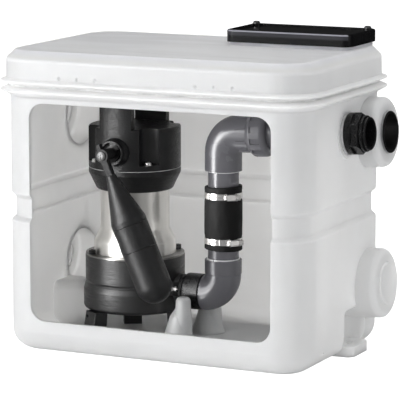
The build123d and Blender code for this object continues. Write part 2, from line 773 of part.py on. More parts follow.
def make_valve_body():
    """Swing check valve: two sockets, a seat and a round chamber with its hinge lugs."""
    body = turned(
        (PIPE_RADIUS + FIT, VALVE_SOCKET), (FITTING_RADIUS, VALVE_SOCKET, 0.8),
        (FITTING_RADIUS, VALVE_START + 2), (VALVE_RADIUS, VALVE_START + 7, 2.0),
        (VALVE_RADIUS, VALVE_END - 3, 2.0), (FITTING_RADIUS, VALVE_END + 2),
        (FITTING_RADIUS, VALVE_SOCKET_END, 0.8), (PIPE_RADIUS + FIT, VALVE_SOCKET_END),
        (PIPE_RADIUS + FIT, TAIL_STOP), (VALVE_CHAMBER, TAIL_STOP), (VALVE_CHAMBER, VALVE_SEAT),
        (SEAT_BORE, VALVE_SEAT), (SEAT_BORE, VALVE_START + 6), (PIPE_BORE, VALVE_START),
        (PIPE_RADIUS + FIT, VALVE_START),
    )
    cheek = block(-VALVE_CHAMBER - 1, -FLAP_PIVOT + 2.5, 4.5, 8.0, VALVE_SEAT - 1, VALVE_SEAT + 6.0)
    body += (cheek + mirror(cheek, Plane.XZ)) & rod(VALVE_CHAMBER + 2, VALVE_SEAT - 1, VALVE_SEAT + 10)
    body -= flap_axis() * rod(PIN_RADIUS, -9.0, 9.0)
    return on_branch(body)


def flap_axis():
    """Hinge line of the flap, across the top of the valve chamber."""
    return Pos(-FLAP_PIVOT, 0, VALVE_SEAT + 3.0) * Rot(90, 0, 0)


def make_flap_pin():
    return on_branch(flap_axis() * rod(PIN_RADIUS, -8.0, 8.0))


def make_check_flap():
    """Rubber-faced disc hung from the hinge pin."""
    disc = turned(
        (0, VALVE_SEAT + 0.3), (FLAP_RADIUS, VALVE_SEAT + 0.3, 0.6), (FLAP_RADIUS, VALVE_SEAT + 3.0, 0.8),
        (9.0, VALVE_SEAT + 4.0, 0.6), (0, VALVE_SEAT + 4.0),
    )
    arm = block(-FLAP_PIVOT, -6.0, -3.0, 3.0, VALVE_SEAT + 2.0, VALVE_SEAT + 5.0)
    eye = flap_axis() * rod(3.0, -3.5, 3.5)
    disc -= block(-FLAP_RADIUS - 1, -12.5, -FLAP_RADIUS, FLAP_RADIUS, VALVE_SEAT, VALVE_SEAT + 6)
    flap = disc + arm + eye - flap_axis() * rod(PIN_RADIUS + FIT, -5.0, 5.0)
    return on_branch(flap)


def make_discharge_socket():
    """Thick black socket that joins the casing's outlet to the lower elbow."""
    socket = turned(
        (PIPE_RADIUS + FIT, 11.5), (23.5, 11.5, 0.8), (23.5, -13.5, 4.5), (18.1, -13.5),
        (18.1, SOCKET_STOP), (PIPE_RADIUS + FIT, SOCKET_STOP),
    )
    return Location((0, LINE_Y, DISCHARGE_HEIGHT), (0, 90, 0)) * socket


def make_discharge_screws():
    """Two screws through the oval flange of the casing's outlet."""
    face = OUTLET_FACE
    head = face + 2.6
    screw = turned((0, face), (3.6, face), (3.6, head, 0.8), (0, head))
    screw -= Pos(0, 0, head) * Box(4.6, 1.0, 1.6)
    outlet = Location((PUMP_X, LINE_Y, DISCHARGE_HEIGHT), (0, 90, 0))
    angles = (FLANGE_TURN, FLANGE_TURN + 180)
    return [outlet * on_circle(FLANGE_SCREW_CIRCLE, angle) * screw for angle in angles]


def make_volute():
    """Pump casing with its outlet, open below for the suction cover."""
    inner = CASING_RADIUS - CASING_WALL
    casing = turned(
        (30.6, CASING_TOP - CASING_ROOF), (inner, CASING_TOP - CASING_ROOF, 4.0),
        (inner, CASING_BASE + COVER_THICKNESS), (COVER_SEAT, CASING_BASE + COVER_THICKNESS),
        (COVER_SEAT, CASING_BASE),
        (CASING_SKIRT, CASING_BASE, 5.0), (CASING_SKIRT, 67.0, 4.0), (CASING_RADIUS + 0.5, 73.5, 1.0),
        (CASING_RADIUS - 1.2, GROOVE_HEIGHT, 0.8), (CASING_RADIUS, GROOVE_HEIGHT + 3, 1.0),
        (CASING_RADIUS, CASING_TOP, 1.0), (30.6, CASING_TOP),
    )
    outlet = Location((0, 0, DISCHARGE_HEIGHT), (0, 90, 0))
    reach = SOCKET_STOP - 0.2 - PUMP_X
    root = 50.0
    ears = extrude(SlotOverall(2 * FLANGE_SCREW_CIRCLE + 18.0, 18.0), OUTLET_FACE - root)
    pad = outlet * (rod(21.0, root, OUTLET_FACE) + Pos(0, 0, root) * Rot(0, 0, FLANGE_TURN) * ears)
    casing += (pad + outlet * rod(18.0, 60.0, reach)) - rod(inner, 0, CASING_TOP)
    casing -= rod(COVER_SEAT, 0, CASING_BASE + COVER_THICKNESS)
    casing -= outlet * rod(OUTLET_BORE, 40.0, reach + 1)
    for angle in DIAGONALS:
        casing -= on_circle(CASING_SCREW_CIRCLE, angle) * rod(2.5, 94.0, CASING_TOP + 1)
        boss = on_circle(CASING_SCREW_CIRCLE - 3, angle) * rod(5.0, 92.0, CASING_TOP - CASING_ROOF + 1)
        casing += boss - on_circle(CASING_SCREW_CIRCLE, angle) * rod(2.5, 94.0, CASING_TOP + 1)
    return at_pump(casing)


def make_suction_cover():
    """Bottom plate with the suction eye."""
    rim = COVER_SEAT - 0.1
    top = CASING_BASE + COVER_THICKNESS - 0.1
    cover = turned(
        (SUCTION_RADIUS, CASING_BASE, 1.5), (rim, CASING_BASE), (rim, top), (29.0, top, 2.0),
        (26.0, CASING_BASE + 10.0, 1.0), (SUCTION_RADIUS, CASING_BASE + 10.0),
    )
    return at_pump(cover)


def make_feet():
    """Three splayed legs under the casing."""
    leg = loft([
        Pos(FOOT_RADIUS_FLOOR, 0, FLOOR) * Rectangle(FOOT_DEPTH + 3, FOOT_WIDTH),
        Pos(FOOT_RADIUS_TOP, 0, CASING_BASE) * Rectangle(FOOT_DEPTH, FOOT_WIDTH),
    ], ruled=True)
    leg = fillet(leg.edges().filter_by(lambda edge: edge.length > 30), 1.5)
    leg -= Pos(FOOT_RADIUS_TOP + 12, -6.5, 34.0) * Rot(0, 90, 0) * Cylinder(2.2, 24)
    return [at_pump(Rot(0, 0, angle) * leg) for angle in FOOT_ANGLES]


def make_casing_screws():
    top = CASING_TOP + 2
    screw = turned(
        (0, 95.0), (2.4, 95.0), (2.4, top), (4.6, top), (4.6, top + 5.6, 0.6), (0, top + 5.6),
    )
    screw -= hexagon(4.0, top + 2.6, top + 7)
    return [at_pump(on_circle(CASING_SCREW_CIRCLE, angle) * screw) for angle in DIAGONALS]


def make_motor_shell():
    """Spun steel can: flange, bell and straight barrel."""
    flange_top = CASING_TOP + 2.0
    shell = turned(
        (SHELL_FLANGE, CASING_TOP), (SHELL_FLANGE, flange_top), (BELL_RADIUS, flange_top, 0.8),
        (BELL_RADIUS, 131.0, 8.0), (SHELL_RADIUS, 147.0, 8.0), (SHELL_RADIUS, SHELL_TOP),
        (SHELL_RADIUS - SHELL_WALL, SHELL_TOP), (SHELL_RADIUS - SHELL_WALL, 147.5, 8.0),
        (BELL_RADIUS - SHELL_WALL, 130.5, 8.0), (BELL_RADIUS - SHELL_WALL, CASING_TOP),
    )
    for angle in DIAGONALS:
        shell -= on_circle(CASING_SCREW_CIRCLE, angle) * rod(2.6, CASING_TOP - 1, flange_top + 1)
    return at_pump(shell)


def make_bearing_carrier():
    """Lower bracket that holds the shaft seal and the lower bearing."""
    return at_pump(turned(
        (SHAFT_RADIUS + 0.6, 100.0), (30.5, 100.0), (30.5, CASING_TOP), (51.9, CASING_TOP),
        (51.9, CASING_TOP + 6.0, 1.5), (21.0, CASING_TOP + 8.0), (21.0, CARRIER_TOP, 1.0),
        (BEARING_RADIUS, CARRIER_TOP), (BEARING_RADIUS, LOWER_BEARING), (12.0, LOWER_BEARING),
        (12.0, 105.0), (SHAFT_RADIUS + 0.6, 105.0),
    ))


def make_shaft_seal():
    """Carbon and ceramic rings of the shaft seal."""
    return at_pump(turned(
        (SHAFT_RADIUS + FIT, 105.0), (12.0, 105.0), (12.0, 111.0), (10.5, 112.0), (10.5, 119.0),
        (SHAFT_RADIUS + FIT, 119.0),
    ))


def make_bearing(low):
    """Ball bearing: two grooved rings and a row of balls, standing together."""
    high = low + BEARING_WIDTH
    outer = tube(BEARING_RADIUS, 13.4, low, high)
    inner = tube(9.2, SHAFT_RADIUS + FIT, low, high)
    cage = tube(13.4, 9.2, low + 2.6, high - 2.6)
    return at_pump(outer + inner + cage)


def make_stator():
    """Laminated stack with open slots to its bore."""
    stack = tube(SHELL_RADIUS - SHELL_WALL, STATOR_BORE, STACK_LOW, STACK_HIGH)
    slot = block(STATOR_BORE - 1, 33.0, -1.2, 1.2, STACK_LOW - 1, STACK_HIGH + 1)
    for i in range(12):
        stack -= Rot(0, 0, i * 30) * slot
    return at_pump(stack)


def make_windings():
    """Two rings of copper end turns."""
    low = turned(
        (25.5, STACK_LOW), (25.5, 136.5, 3.0), (40.0, 136.5, 3.0), (40.0, STACK_LOW),
    )
    high = turned(
        (25.5, STACK_HIGH), (40.0, STACK_HIGH), (40.0, 206.0, 3.0), (25.5, 206.0, 3.0),
    )
    return [at_pump(low), at_pump(high)]


def make_shaft():
    """Stepped shaft from the impeller to the upper bearing."""
    return at_pump(turned(
        (0, 58.0), (4.0, 58.0), (4.0, 66.0), (SHAFT_RADIUS, 66.0), (SHAFT_RADIUS, 134.0),
        (9.0, 134.0), (9.0, 207.0), (SHAFT_RADIUS, 207.0), (SHAFT_RADIUS, 220.0, 0.8), (0, 220.0),
    ))


def make_rotor():
    return at_pump(tube(ROTOR_RADIUS, 9.0, STACK_LOW + 1, STACK_HIGH - 1))


def make_impeller():
    """Vortex impeller: a back plate with straight vanes that hang from it."""
    plate_low = 84.0
    wheel = turned(
        (SHAFT_RADIUS, 66.0), (12.0, 66.0, 1.0), (12.0, plate_low), (46.0, plate_low),
        (46.0, plate_low + 4.5, 1.0), (14.0, plate_low + 6.0), (14.0, 96.0), (SHAFT_RADIUS, 96.0),
    )
    vane = block(11.0, 44.0, -2.0, 2.0, 69.0, plate_low + 1)
    for i in range(6):
        wheel += Rot(0, 0, i * 60) * vane
    return at_pump(wheel)


def make_impeller_nut():
    return at_pump(hexagon(13.0, 59.5, 66.0) - rod(4.0, 50.0, 70.0))


def make_head_ring():
    """Lower half of the pump head, with the upper bearing's seat."""
    rim = HEAD_SEAM - 0.2
    ring = turned(
        (SHELL_RADIUS + FIT, HEAD_BASE), (49.5, HEAD_BASE, 4.0), (HEAD_RADIUS, HEAD_CONE_TOP, 4.0),
        (HEAD_RADIUS, rim, 0.6), (12.0, rim), (12.0, 219.0), (BEARING_RADIUS, 219.0),
        (BEARING_RADIUS, 208.0), (21.0, 208.0), (21.0, SHELL_TOP + 0.2), (SHELL_RADIUS + FIT, SHELL_TOP + 0.2),
    )
    for angle in DIAGONALS:
        ring -= on_circle(HEAD_SCREW_CIRCLE, angle) * rod(2.4, 214.0, HEAD_SEAM + 1)
    return at_pump(ring)


def make_head_cover():
    """Upper half of the head: screw flutes, float boss and the two posts of the handle."""
    base = HEAD_SEAM + 0.2
    roof = HEAD_TOP - HEAD_WALL
    cover = turned(
        (0, base), (HEAD_RADIUS, base, 0.6), (HEAD_RADIUS, HEAD_TOP, 3.0), (0, HEAD_TOP),
    )
    half = HANDLE_WIDTH / 2
    gap = HEAD_RADIUS - HANDLE_LEG
    legs = rod(HEAD_RADIUS, roof, HANDLE_SEAT)
    legs &= block(-half, half, -HEAD_RADIUS, HEAD_RADIUS, roof, HANDLE_SEAT)
    legs -= block(-HANDLE_WIDTH, HANDLE_WIDTH, -gap, gap, roof - 1, HANDLE_SEAT + 1)
    cover += legs
    chamber = rod(HEAD_RADIUS - HEAD_WALL, base - 1, roof)
    for angle in DIAGONALS:
        cover -= on_circle(FLUTE_CIRCLE, angle) * rod(FLUTE_RADIUS, FLUTE_BASE, HEAD_TOP + 1)
        chamber -= on_circle(FLUTE_CIRCLE, angle) * rod(FLUTE_RADIUS + 4.0, base - 2, roof + 1)
    cover -= chamber
    cover = at_pump(cover)
    boss = on_pivot(turned(
        (0, -BOSS_FACE - 24.0), (9.0, -BOSS_FACE - 24.0), (9.0, -BOSS_FACE - 17.0),
        (BOSS_RADIUS + 3, -BOSS_FACE - 17.0), (BOSS_RADIUS + 2, -BOSS_FACE - 11.0, 4.0),
        (BOSS_RADIUS, -BOSS_FACE - 5.0, 4.0), (BOSS_RADIUS, -BOSS_FACE, 1.2), (0, -BOSS_FACE),
    ))
    cover += boss
    cover -= on_pivot(tube(14.0, 7.5, -BOSS_FACE - 3.5, -BOSS_FACE + 1))
    cover += on_pivot(stop_sector(7.0, 14.2, -BOSS_FACE - 4.0, -BOSS_FACE - 0.6))
    cover -= on_pivot(rod(SPINDLE_RADIUS + FIT, -BOSS_FACE - 40.0, -BOSS_FACE + 5))
    for angle in DIAGONALS:
        cover -= at_pump(on_circle(HEAD_SCREW_CIRCLE, angle) * rod(2.4, base - 1, FLUTE_BASE + 1))
    cover -= at_pump(Pos(GLAND_X, 2.0, 0) * rod(8.0, roof - 1, HEAD_TOP + 1))
    for side in (-1, 1):
        cover -= at_pump(Pos(0, side * HANDLE_SCREW, 0) * rod(2.4, HANDLE_SEAT - 12, HANDLE_SEAT + 1))
    return cover


def stop_sector(inner, outer, low, high):
    """Fan-shaped stop on the boss face, above the spindle."""
    fan = tube(outer, inner, low, high)
    wedge = block(0, 40, 0, 40, low - 1, high + 1)
    return fan & (Rot(0, 0, 30) * wedge) & (Rot(0, 0, 10) * wedge)


def make_head_screws():
    screw = turned(
        (0, 215.0), (2.3, 215.0), (2.3, FLUTE_BASE), (5.0, FLUTE_BASE), (5.0, FLUTE_BASE + 1.0),
        (4.2, FLUTE_BASE + 1.0), (4.2, FLUTE_BASE + 4.2, 1.6), (0, FLUTE_BASE + 4.8),
    )
    screw -= hexagon(3.4, FLUTE_BASE + 2.4, FLUTE_BASE + 6)
    return [at_pump(on_circle(HEAD_SCREW_CIRCLE, angle) * screw) for angle in DIAGONALS]


def make_handle():
    """Bridge of the carrying handle, screwed to the two posts."""
    half = HEAD_RADIUS
    side_view = outline(
        (-half, HANDLE_SEAT), (-half, HANDLE_TOP, 10.0), (half, HANDLE_TOP, 10.0), (half, HANDLE_SEAT),
        (half - HANDLE_LEG, HANDLE_SEAT, 3.0), (half - HANDLE_LEG - 5, HANDLE_SEAT + 6, 4.0),
        (-half + HANDLE_LEG + 5, HANDLE_SEAT + 6, 4.0), (-half + HANDLE_LEG, HANDLE_SEAT, 3.0),
    )
    bridge = extrude(Plane.YZ * side_view, HANDLE_WIDTH / 2, both=True)
    bridge = bridge & rod(HEAD_RADIUS, HANDLE_SEAT - 1, HANDLE_TOP + 1)
    for side in (-1, 1):
        bridge -= Pos(0, side * HANDLE_SCREW, 0) * rod(2.4, HANDLE_SEAT - 1, HANDLE_TOP + 1)
        bridge -= Pos(0, side * HANDLE_SCREW, 0) * rod(4.8, HANDLE_TOP - 7, HANDLE_TOP + 1)
    return at_pump(bridge)


def make_handle_screws():
    seat = HANDLE_TOP - 7
    screw = turned(
        (0, HANDLE_SEAT - 10), (2.3, HANDLE_SEAT - 10), (2.3, seat), (4.4, seat),
        (4.4, seat + 4, 1.2), (0, seat + 4.4),
    )
    return [at_pump(Pos(0, side * HANDLE_SCREW, 0) * screw) for side in (-1, 1)]


def make_cable_gland():
    """Gland for the power lead on top of the head."""
    nut_low = HEAD_TOP + 7.0
    nut_high = HEAD_TOP + 13.0
    tip = HEAD_TOP + 18.0
    gland = turned(
        (GLAND_BORE, 270.0), (8.0, 270.0), (8.0, HEAD_TOP), (11.0, HEAD_TOP), (11.0, HEAD_TOP + 3.0, 0.6),
        (8.5, HEAD_TOP + 3.0), (8.5, nut_low), (GLAND_BORE, nut_low),
    )
    edge = turned(
        (0, HEAD_TOP), (11.0, HEAD_TOP), (11.0, nut_high - 1.5), (9.0, nut_high), (0, nut_high),
    )
    nut = hexagon(19.0, nut_low, nut_high) & edge
    crown = turned(
        (GLAND_BORE, nut_high - 1), (8.2, nut_high - 1), (7.0, tip, 2.0), (GLAND_BORE, tip),
    )
    gland += nut + crown
    gland -= rod(GLAND_BORE, 260.0, tip + 2)
    return at_pump(Pos(GLAND_X, 2.0, 0) * gland)


def make_capacitor():
    """Run capacitor standing in the head."""
    can = turned((0, HEAD_SEAM), (13.0, HEAD_SEAM), (13.0, 268.0, 1.5), (0, 268.0))
    can += Pos(4.5, 0, 0) * block(-0.8, 0.8, -3, 3, 267, 273)
    can += Pos(-4.5, 0, 0) * block(-0.8, 0.8, -3, 3, 267, 273)
    return at_pump(Pos(6.0, 24.0, 0.0) * can)


def make_microswitch():
    """Switch block over the cam, hung from the roof of the head."""
    half = 3.2
    roof = HEAD_TOP - HEAD_WALL
    body = block(PIVOT_X - 10, PIVOT_X + 10, SWITCH_Y - half, SWITCH_Y + half, SWITCH_BASE, roof)
    return body - Pos(PIVOT_X, SWITCH_Y, 0) * rod(1.5 + FIT, SWITCH_BASE - 1, SWITCH_BASE + 7)


def make_plunger():
    pin = turned((0, PLUNGER_TIP), (1.5, PLUNGER_TIP, 1.0), (1.5, SWITCH_BASE + 3), (0, SWITCH_BASE + 3))
    return Pos(PIVOT_X, SWITCH_Y, 0) * pin


def make_spindle():
    """Float spindle with its rising cam inside the head."""
    steps = 15
    rim = []
    for i in range(steps + 1):
        share = i / steps
        angle = math.radians(90 + 25 - share * (FLOAT_SWING + 50))
        radius = CAM_LOW + CAM_LIFT * min(max((share * (FLOAT_SWING + 50) - 25) / FLOAT_SWING, 0), 1)
        rim.append((radius * math.cos(angle), radius * math.sin(angle)))
    tail = [(CAM_LOW * 0.8, -CAM_LOW * 0.6), (-CAM_LOW * 0.8, -CAM_LOW * 0.6)]
    cam = extrude(outline(*rim, *tail), 5.0)
    shaft = rod(SPINDLE_RADIUS, 37.0, -ARM_PLANE + 4.0)
    shaft -= rod(2.0, -ARM_PLANE - 6.0, -ARM_PLANE + 5.0)
    return on_pivot(shaft + Pos(0, 0, -SWITCH_Y - 2.5) * mirror(cam, Plane.YZ))


def make_spindle_seal():
    """Ring on the spindle behind the boss face."""
    return on_pivot(tube(7.2, SPINDLE_RADIUS + FIT, -BOSS_FACE, -BOSS_FACE + 1.8))


def make_float_arm():
    """Hub and flat arm that carry the float."""
    hub_low = -BOSS_FACE + 2.0
    hub_high = -ARM_PLANE - 4.0
    hub = on_pivot(rod(7.5, hub_low, hub_high) + rod(8.5, hub_high, hub_high + 8.0))
    arm = on_float(plate(11.0, 8.0, 2.0, 0.0, 46.0))
    tail = on_float(block(-2.5, 2.5, -4.0, 4.0, -15.0, 0.0))
    body = hub + arm + tail
    body -= on_pivot(rod(SPINDLE_RADIUS, hub_low - 1, hub_high + 9))
    return body


def make_float_screw():
    seat = -ARM_PLANE + 4.0
    screw = turned(
        (0, seat - 9.0), (1.95, seat - 9.0), (1.95, seat), (5.8, seat), (5.8, seat + 1.6, 0.7),
        (3.4, seat + 3.0, 1.5), (0, seat + 3.2),
    )
    screw -= Pos(0, 0, seat + 3.0) * Box(6.4, 1.2, 2.2)
    screw -= Pos(0, 0, seat + 3.0) * Box(1.2, 6.4, 2.2)
    return on_pivot(screw)


def make_float_neck():
    """Tapered upper shell of the float, closed round the arm."""
    seam = FLOAT_SEAMS[0]
    start = FLOAT_NECK_START
    inner = FLOAT_RADIUS - FLOAT_WALL
    neck = turned(
        (0, start), (5.8, start, 1.2), (FLOAT_RADIUS, FLOAT_SHOULDER, 8.0), (FLOAT_RADIUS, seam, 0.7),
        (inner, seam), (inner, FLOAT_SHOULDER + 1), (6.0, 50.0), (0, 50.0),
    )
    slot = plate(11.0, 8.0, 2.0, start - 1, 46.0)
    throat = turned((0, start), (6.6, start, 1.0), (9.2, 48.0), (0, 48.0))
    return on_float(neck + throat - slot)


def make_float_middle():
    low, high = FLOAT_SEAMS
    inner = FLOAT_RADIUS - FLOAT_WALL
    return on_float(turned(
        (inner, low), (FLOAT_RADIUS, low, 0.7), (FLOAT_RADIUS, high, 0.7), (inner, high),
    ))


def make_float_cap():
    """Lower shell of the float with its round end."""
    seam = FLOAT_SEAMS[1]
    inner = FLOAT_RADIUS - FLOAT_WALL
    tip = FLOAT_LENGTH + FLOAT_RADIUS
    rounding = FLOAT_RADIUS - 0.01
    return on_float(turned(
        (inner, seam), (FLOAT_RADIUS, seam, 0.7), (FLOAT_RADIUS, tip, rounding), (0, tip),
        (0, tip - FLOAT_WALL), (inner, tip - FLOAT_WALL, inner - 0.01),
    ))


def write(name, shape):
    """Store one named piece; a list is a group of like pieces."""
    shapes = shape if isinstance(shape, list) else [shape]
    solids = [solid for item in shapes for solid in item.solids()]
    export_step(Compound(children=solids), f"parts/{name}.step")


def main():
    os.makedirs("parts", exist_ok=True)
    low_clamp = (CLAMP_HEIGHTS[0], CLAMP_ANGLES[0])
    high_clamp = (CLAMP_HEIGHTS[1], CLAMP_ANGLES[1])
    pieces = {
        "tank": make_tank(),
        "inlet_seal": make_inlet_seal(),
        "lid_gasket": make_lid_gasket(),
        "lid": make_lid(),
        "filter_cover": make_filter_cover(),
        "filter_cover_screws": make_filter_screws(),
        "carbon_filter": make_carbon_filter(),
        "outlet_body": make_outlet_body(),
        "outlet_inner_seal": make_outlet_seals(),
        "outlet_gasket": make_outlet_gasket(),
        "outlet_nut": make_outlet_nut(),
        "outlet_lock_ring": make_outlet_ring(),
        "upper_elbow": make_upper_elbow(),
        "lower_elbow": make_lower_elbow(),
        "upper_pipe": make_upper_pipe(),
        "lower_pipe": make_lower_pipe(),
        "joint_beads": make_joint_beads(),
        "rubber_sleeve": make_sleeve(),
        "lower_clamp": make_clamp_band(*low_clamp),
        "upper_clamp": make_clamp_band(*high_clamp),
        "clamp_screws": [make_clamp_screw(*low_clamp), make_clamp_screw(*high_clamp)],
        "union_nut": make_union_nut(),
        "union_seal": make_union_seal(),
        "union_tail": make_union_tail(),
        "check_valve_body": make_valve_body(),
        "flap_pin": make_flap_pin(),
        "check_flap": make_check_flap(),
        "discharge_socket": make_discharge_socket(),
        "discharge_screws": make_discharge_screws(),
        "volute_casing": make_volute(),
        "suction_cover": make_suction_cover(),
        "pump_feet": make_feet(),
        "casing_screws": make_casing_screws(),
        "motor_shell": make_motor_shell(),
        "bearing_carrier": make_bearing_carrier(),
        "shaft_seal": make_shaft_seal(),
        "lower_bearing": make_bearing(LOWER_BEARING),
        "upper_bearing": make_bearing(UPPER_BEARING),
        "stator_core": make_stator(),
        "stator_windings": make_windings(),
        "motor_shaft": make_shaft(),
        "rotor_core": make_rotor(),
        "impeller": make_impeller(),
        "impeller_nut": make_impeller_nut(),
        "head_ring": make_head_ring(),
        "head_cover": make_head_cover(),
        "head_screws": make_head_screws(),
        "handle_bridge": make_handle(),
        "handle_screws": make_handle_screws(),
        "cable_gland": make_cable_gland(),
        "capacitor": make_capacitor(),
        "microswitch": make_microswitch(),
        "switch_plunger": make_plunger(),
        "float_spindle": make_spindle(),
        "spindle_seal": make_spindle_seal(),
        "float_arm": make_float_arm(),
        "float_screw": make_float_screw(),
        "float_neck": make_float_neck(),
        "float_middle": make_float_middle(),
        "float_cap": make_float_cap(),
    }
    for name, shape in pieces.items():
        write(name, shape)


main()
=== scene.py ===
"""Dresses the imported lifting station: finishes for every part, fine detail pieces and a studio."""

import math

import bpy
from bpy.props import FloatProperty, FloatVectorProperty, IntProperty, PointerProperty
from bpy.types import Operator, Panel, PropertyGroup
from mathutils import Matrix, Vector, noise


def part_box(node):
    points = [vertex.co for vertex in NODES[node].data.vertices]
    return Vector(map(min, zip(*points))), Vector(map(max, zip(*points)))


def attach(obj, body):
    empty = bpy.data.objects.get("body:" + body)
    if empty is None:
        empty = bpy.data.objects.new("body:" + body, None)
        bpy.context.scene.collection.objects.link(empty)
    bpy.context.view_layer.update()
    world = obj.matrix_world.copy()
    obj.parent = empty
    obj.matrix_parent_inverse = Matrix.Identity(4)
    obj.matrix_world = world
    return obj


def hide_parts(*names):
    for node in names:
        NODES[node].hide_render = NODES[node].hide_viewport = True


bl_info = {
    "name": "Lifting station",
    "version": (1, 0, 0),
    "blender": (4, 5, 0),
    "location": "View3D > Sidebar > Station",
    "description": "Finishes, detail pieces and studio for a sewage lifting station",
    "category": "Object",
}

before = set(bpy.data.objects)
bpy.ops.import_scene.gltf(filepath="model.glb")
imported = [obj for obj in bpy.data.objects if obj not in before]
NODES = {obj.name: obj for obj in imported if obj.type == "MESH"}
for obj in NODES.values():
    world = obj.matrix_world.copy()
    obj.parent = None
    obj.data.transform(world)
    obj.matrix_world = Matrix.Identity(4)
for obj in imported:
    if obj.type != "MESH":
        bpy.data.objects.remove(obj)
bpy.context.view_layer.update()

# Axis of the riser, shared by both pipes, the sleeve and its clamps
RISER = (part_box("rubber_sleeve")[0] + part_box("rubber_sleeve")[1]) / 2
SLEEVE_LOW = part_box("rubber_sleeve")[0].z
SLEEVE_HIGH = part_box("rubber_sleeve")[1].z
PIPE_RADIUS = (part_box("lower_pipe")[1].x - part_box("lower_pipe")[0].x) / 2
SLEEVE_RADIUS = 0.0244
BAND_SEAT = 0.0239
BAND_WIDTH = 0.0078

# Marks of the worm slots on the clamp bands
SLOT_PROUD = 0.0008
SLOT_THICKNESS = 0.00012
SLOT_LENGTH = 0.0052

# Pale ring between the halves of the pump's head: a painted highlight where the head ring's upper edge
# catches the light
SEAM_PROUD = 0.00015
SEAM_HEIGHT = 0.0006
SEAM_DEPTH = 0.002
SEAM_SINK = 0.0002

# Groove in the boss round the float's spindle; its floor is measured towards the front
GROOVE_FLOOR = 0.0645
GROOVE_DEPTH = 0.0033
GROOVE_INNER = 0.0077
GROOVE_OUTER = 0.0139
# Wall and floor thickness of the dull black ring laid in the groove as painted shade
SHADE_WALL = 0.0004
SHADE_FLOOR = 0.0003

# Where the photographer stood, and what they looked at
CAMERA_PLACE = (1.4402, -3.0483, 0.7504)
CAMERA_AIM = (-0.0070, 0.0305, 0.1834)
FLOOR_REACH = 30.0


class FinishSettings(PropertyGroup):
    """Colours and gloss of the station's materials."""

    tank_colour: FloatVectorProperty(
        name="Tank colour", description="Natural white of the moulded tank and lid",
        subtype="COLOR", size=3, min=0, max=1, default=(0.90, 0.90, 0.895))
    # Painted light: the lid's top face takes a cooler white than the tank's own white.
    lid_top_light_colour: FloatVectorProperty(
        name="Lid top light", description="Painted light: cooler white on the lid's top face",
        subtype="COLOR", size=3, min=0, max=1, default=(0.91, 0.91, 1.0))
    tank_glow: FloatProperty(
        name="Tank translucency", description="Share of light that scatters inside the tank walls",
        subtype="FACTOR", min=0, max=1, default=1.0)
    pipe_colour: FloatVectorProperty(
        name="Pipe colour", description="Grey of the pressure pipe and its fittings",
        subtype="COLOR", size=3, min=0, max=1, default=(0.146, 0.145, 0.160))
    casing_colour: FloatVectorProperty(
        name="Casing colour", description="Black of the pump's grained mouldings",
        subtype="COLOR", size=3, min=0, max=1, default=(0.008, 0.008, 0.0085))
    cover_colour: FloatVectorProperty(
        name="Cover colour", description="Black of the polished filter cover",
        subtype="COLOR", size=3, min=0, max=1, default=(0.004, 0.004, 0.0045))
    # Painted highlight: tone of the bright line along the filter cover's upper edge.
    cover_edge_highlight: FloatProperty(
        name="Cover edge highlight", description="Tone of the painted highlight along the upper edge of the filter cover",
        subtype="FACTOR", min=0, max=1, default=0.35)
    steel_colour: FloatVectorProperty(
        name="Steel colour", description="Tone of the polished stainless barrel",
        subtype="COLOR", size=3, min=0, max=1, default=(0.90, 0.885, 0.85))
    rubber_colour: FloatVectorProperty(
        name="Rubber colour", description="Black of the sleeve and seals",
        subtype="COLOR", size=3, min=0, max=1, default=(0.0075, 0.0075, 0.0075))


class SleeveSettings(PropertyGroup):
    """Shape of the rubber sleeve between the two pipes."""

    bulge: FloatProperty(
        name="Bulge", description="How far the rubber swells between its clamps", subtype="DISTANCE",
        unit="LENGTH", min=0, max=0.002, default=0.0002)
    lean: FloatProperty(
        name="Lean", description="How far the cut ends rise towards the outlet side", subtype="DISTANCE",
        unit="LENGTH", min=0, max=0.003, default=0.0010)
    wave: FloatProperty(
        name="Unevenness", description="Depth of the soft dents left by the clamps", subtype="DISTANCE",
        unit="LENGTH", min=0, max=0.001, default=0.0003)


class ClampSettings(PropertyGroup):
    """Slots of the two worm-drive bands."""

    slots: IntProperty(name="Slots", description="Worm slots in each band", min=8, max=60, default=26)
    slot_width: FloatProperty(
        name="Slot width", description="Width of a slot along the band", subtype="DISTANCE", unit="LENGTH",
        min=0.0004, max=0.002, default=0.0006)


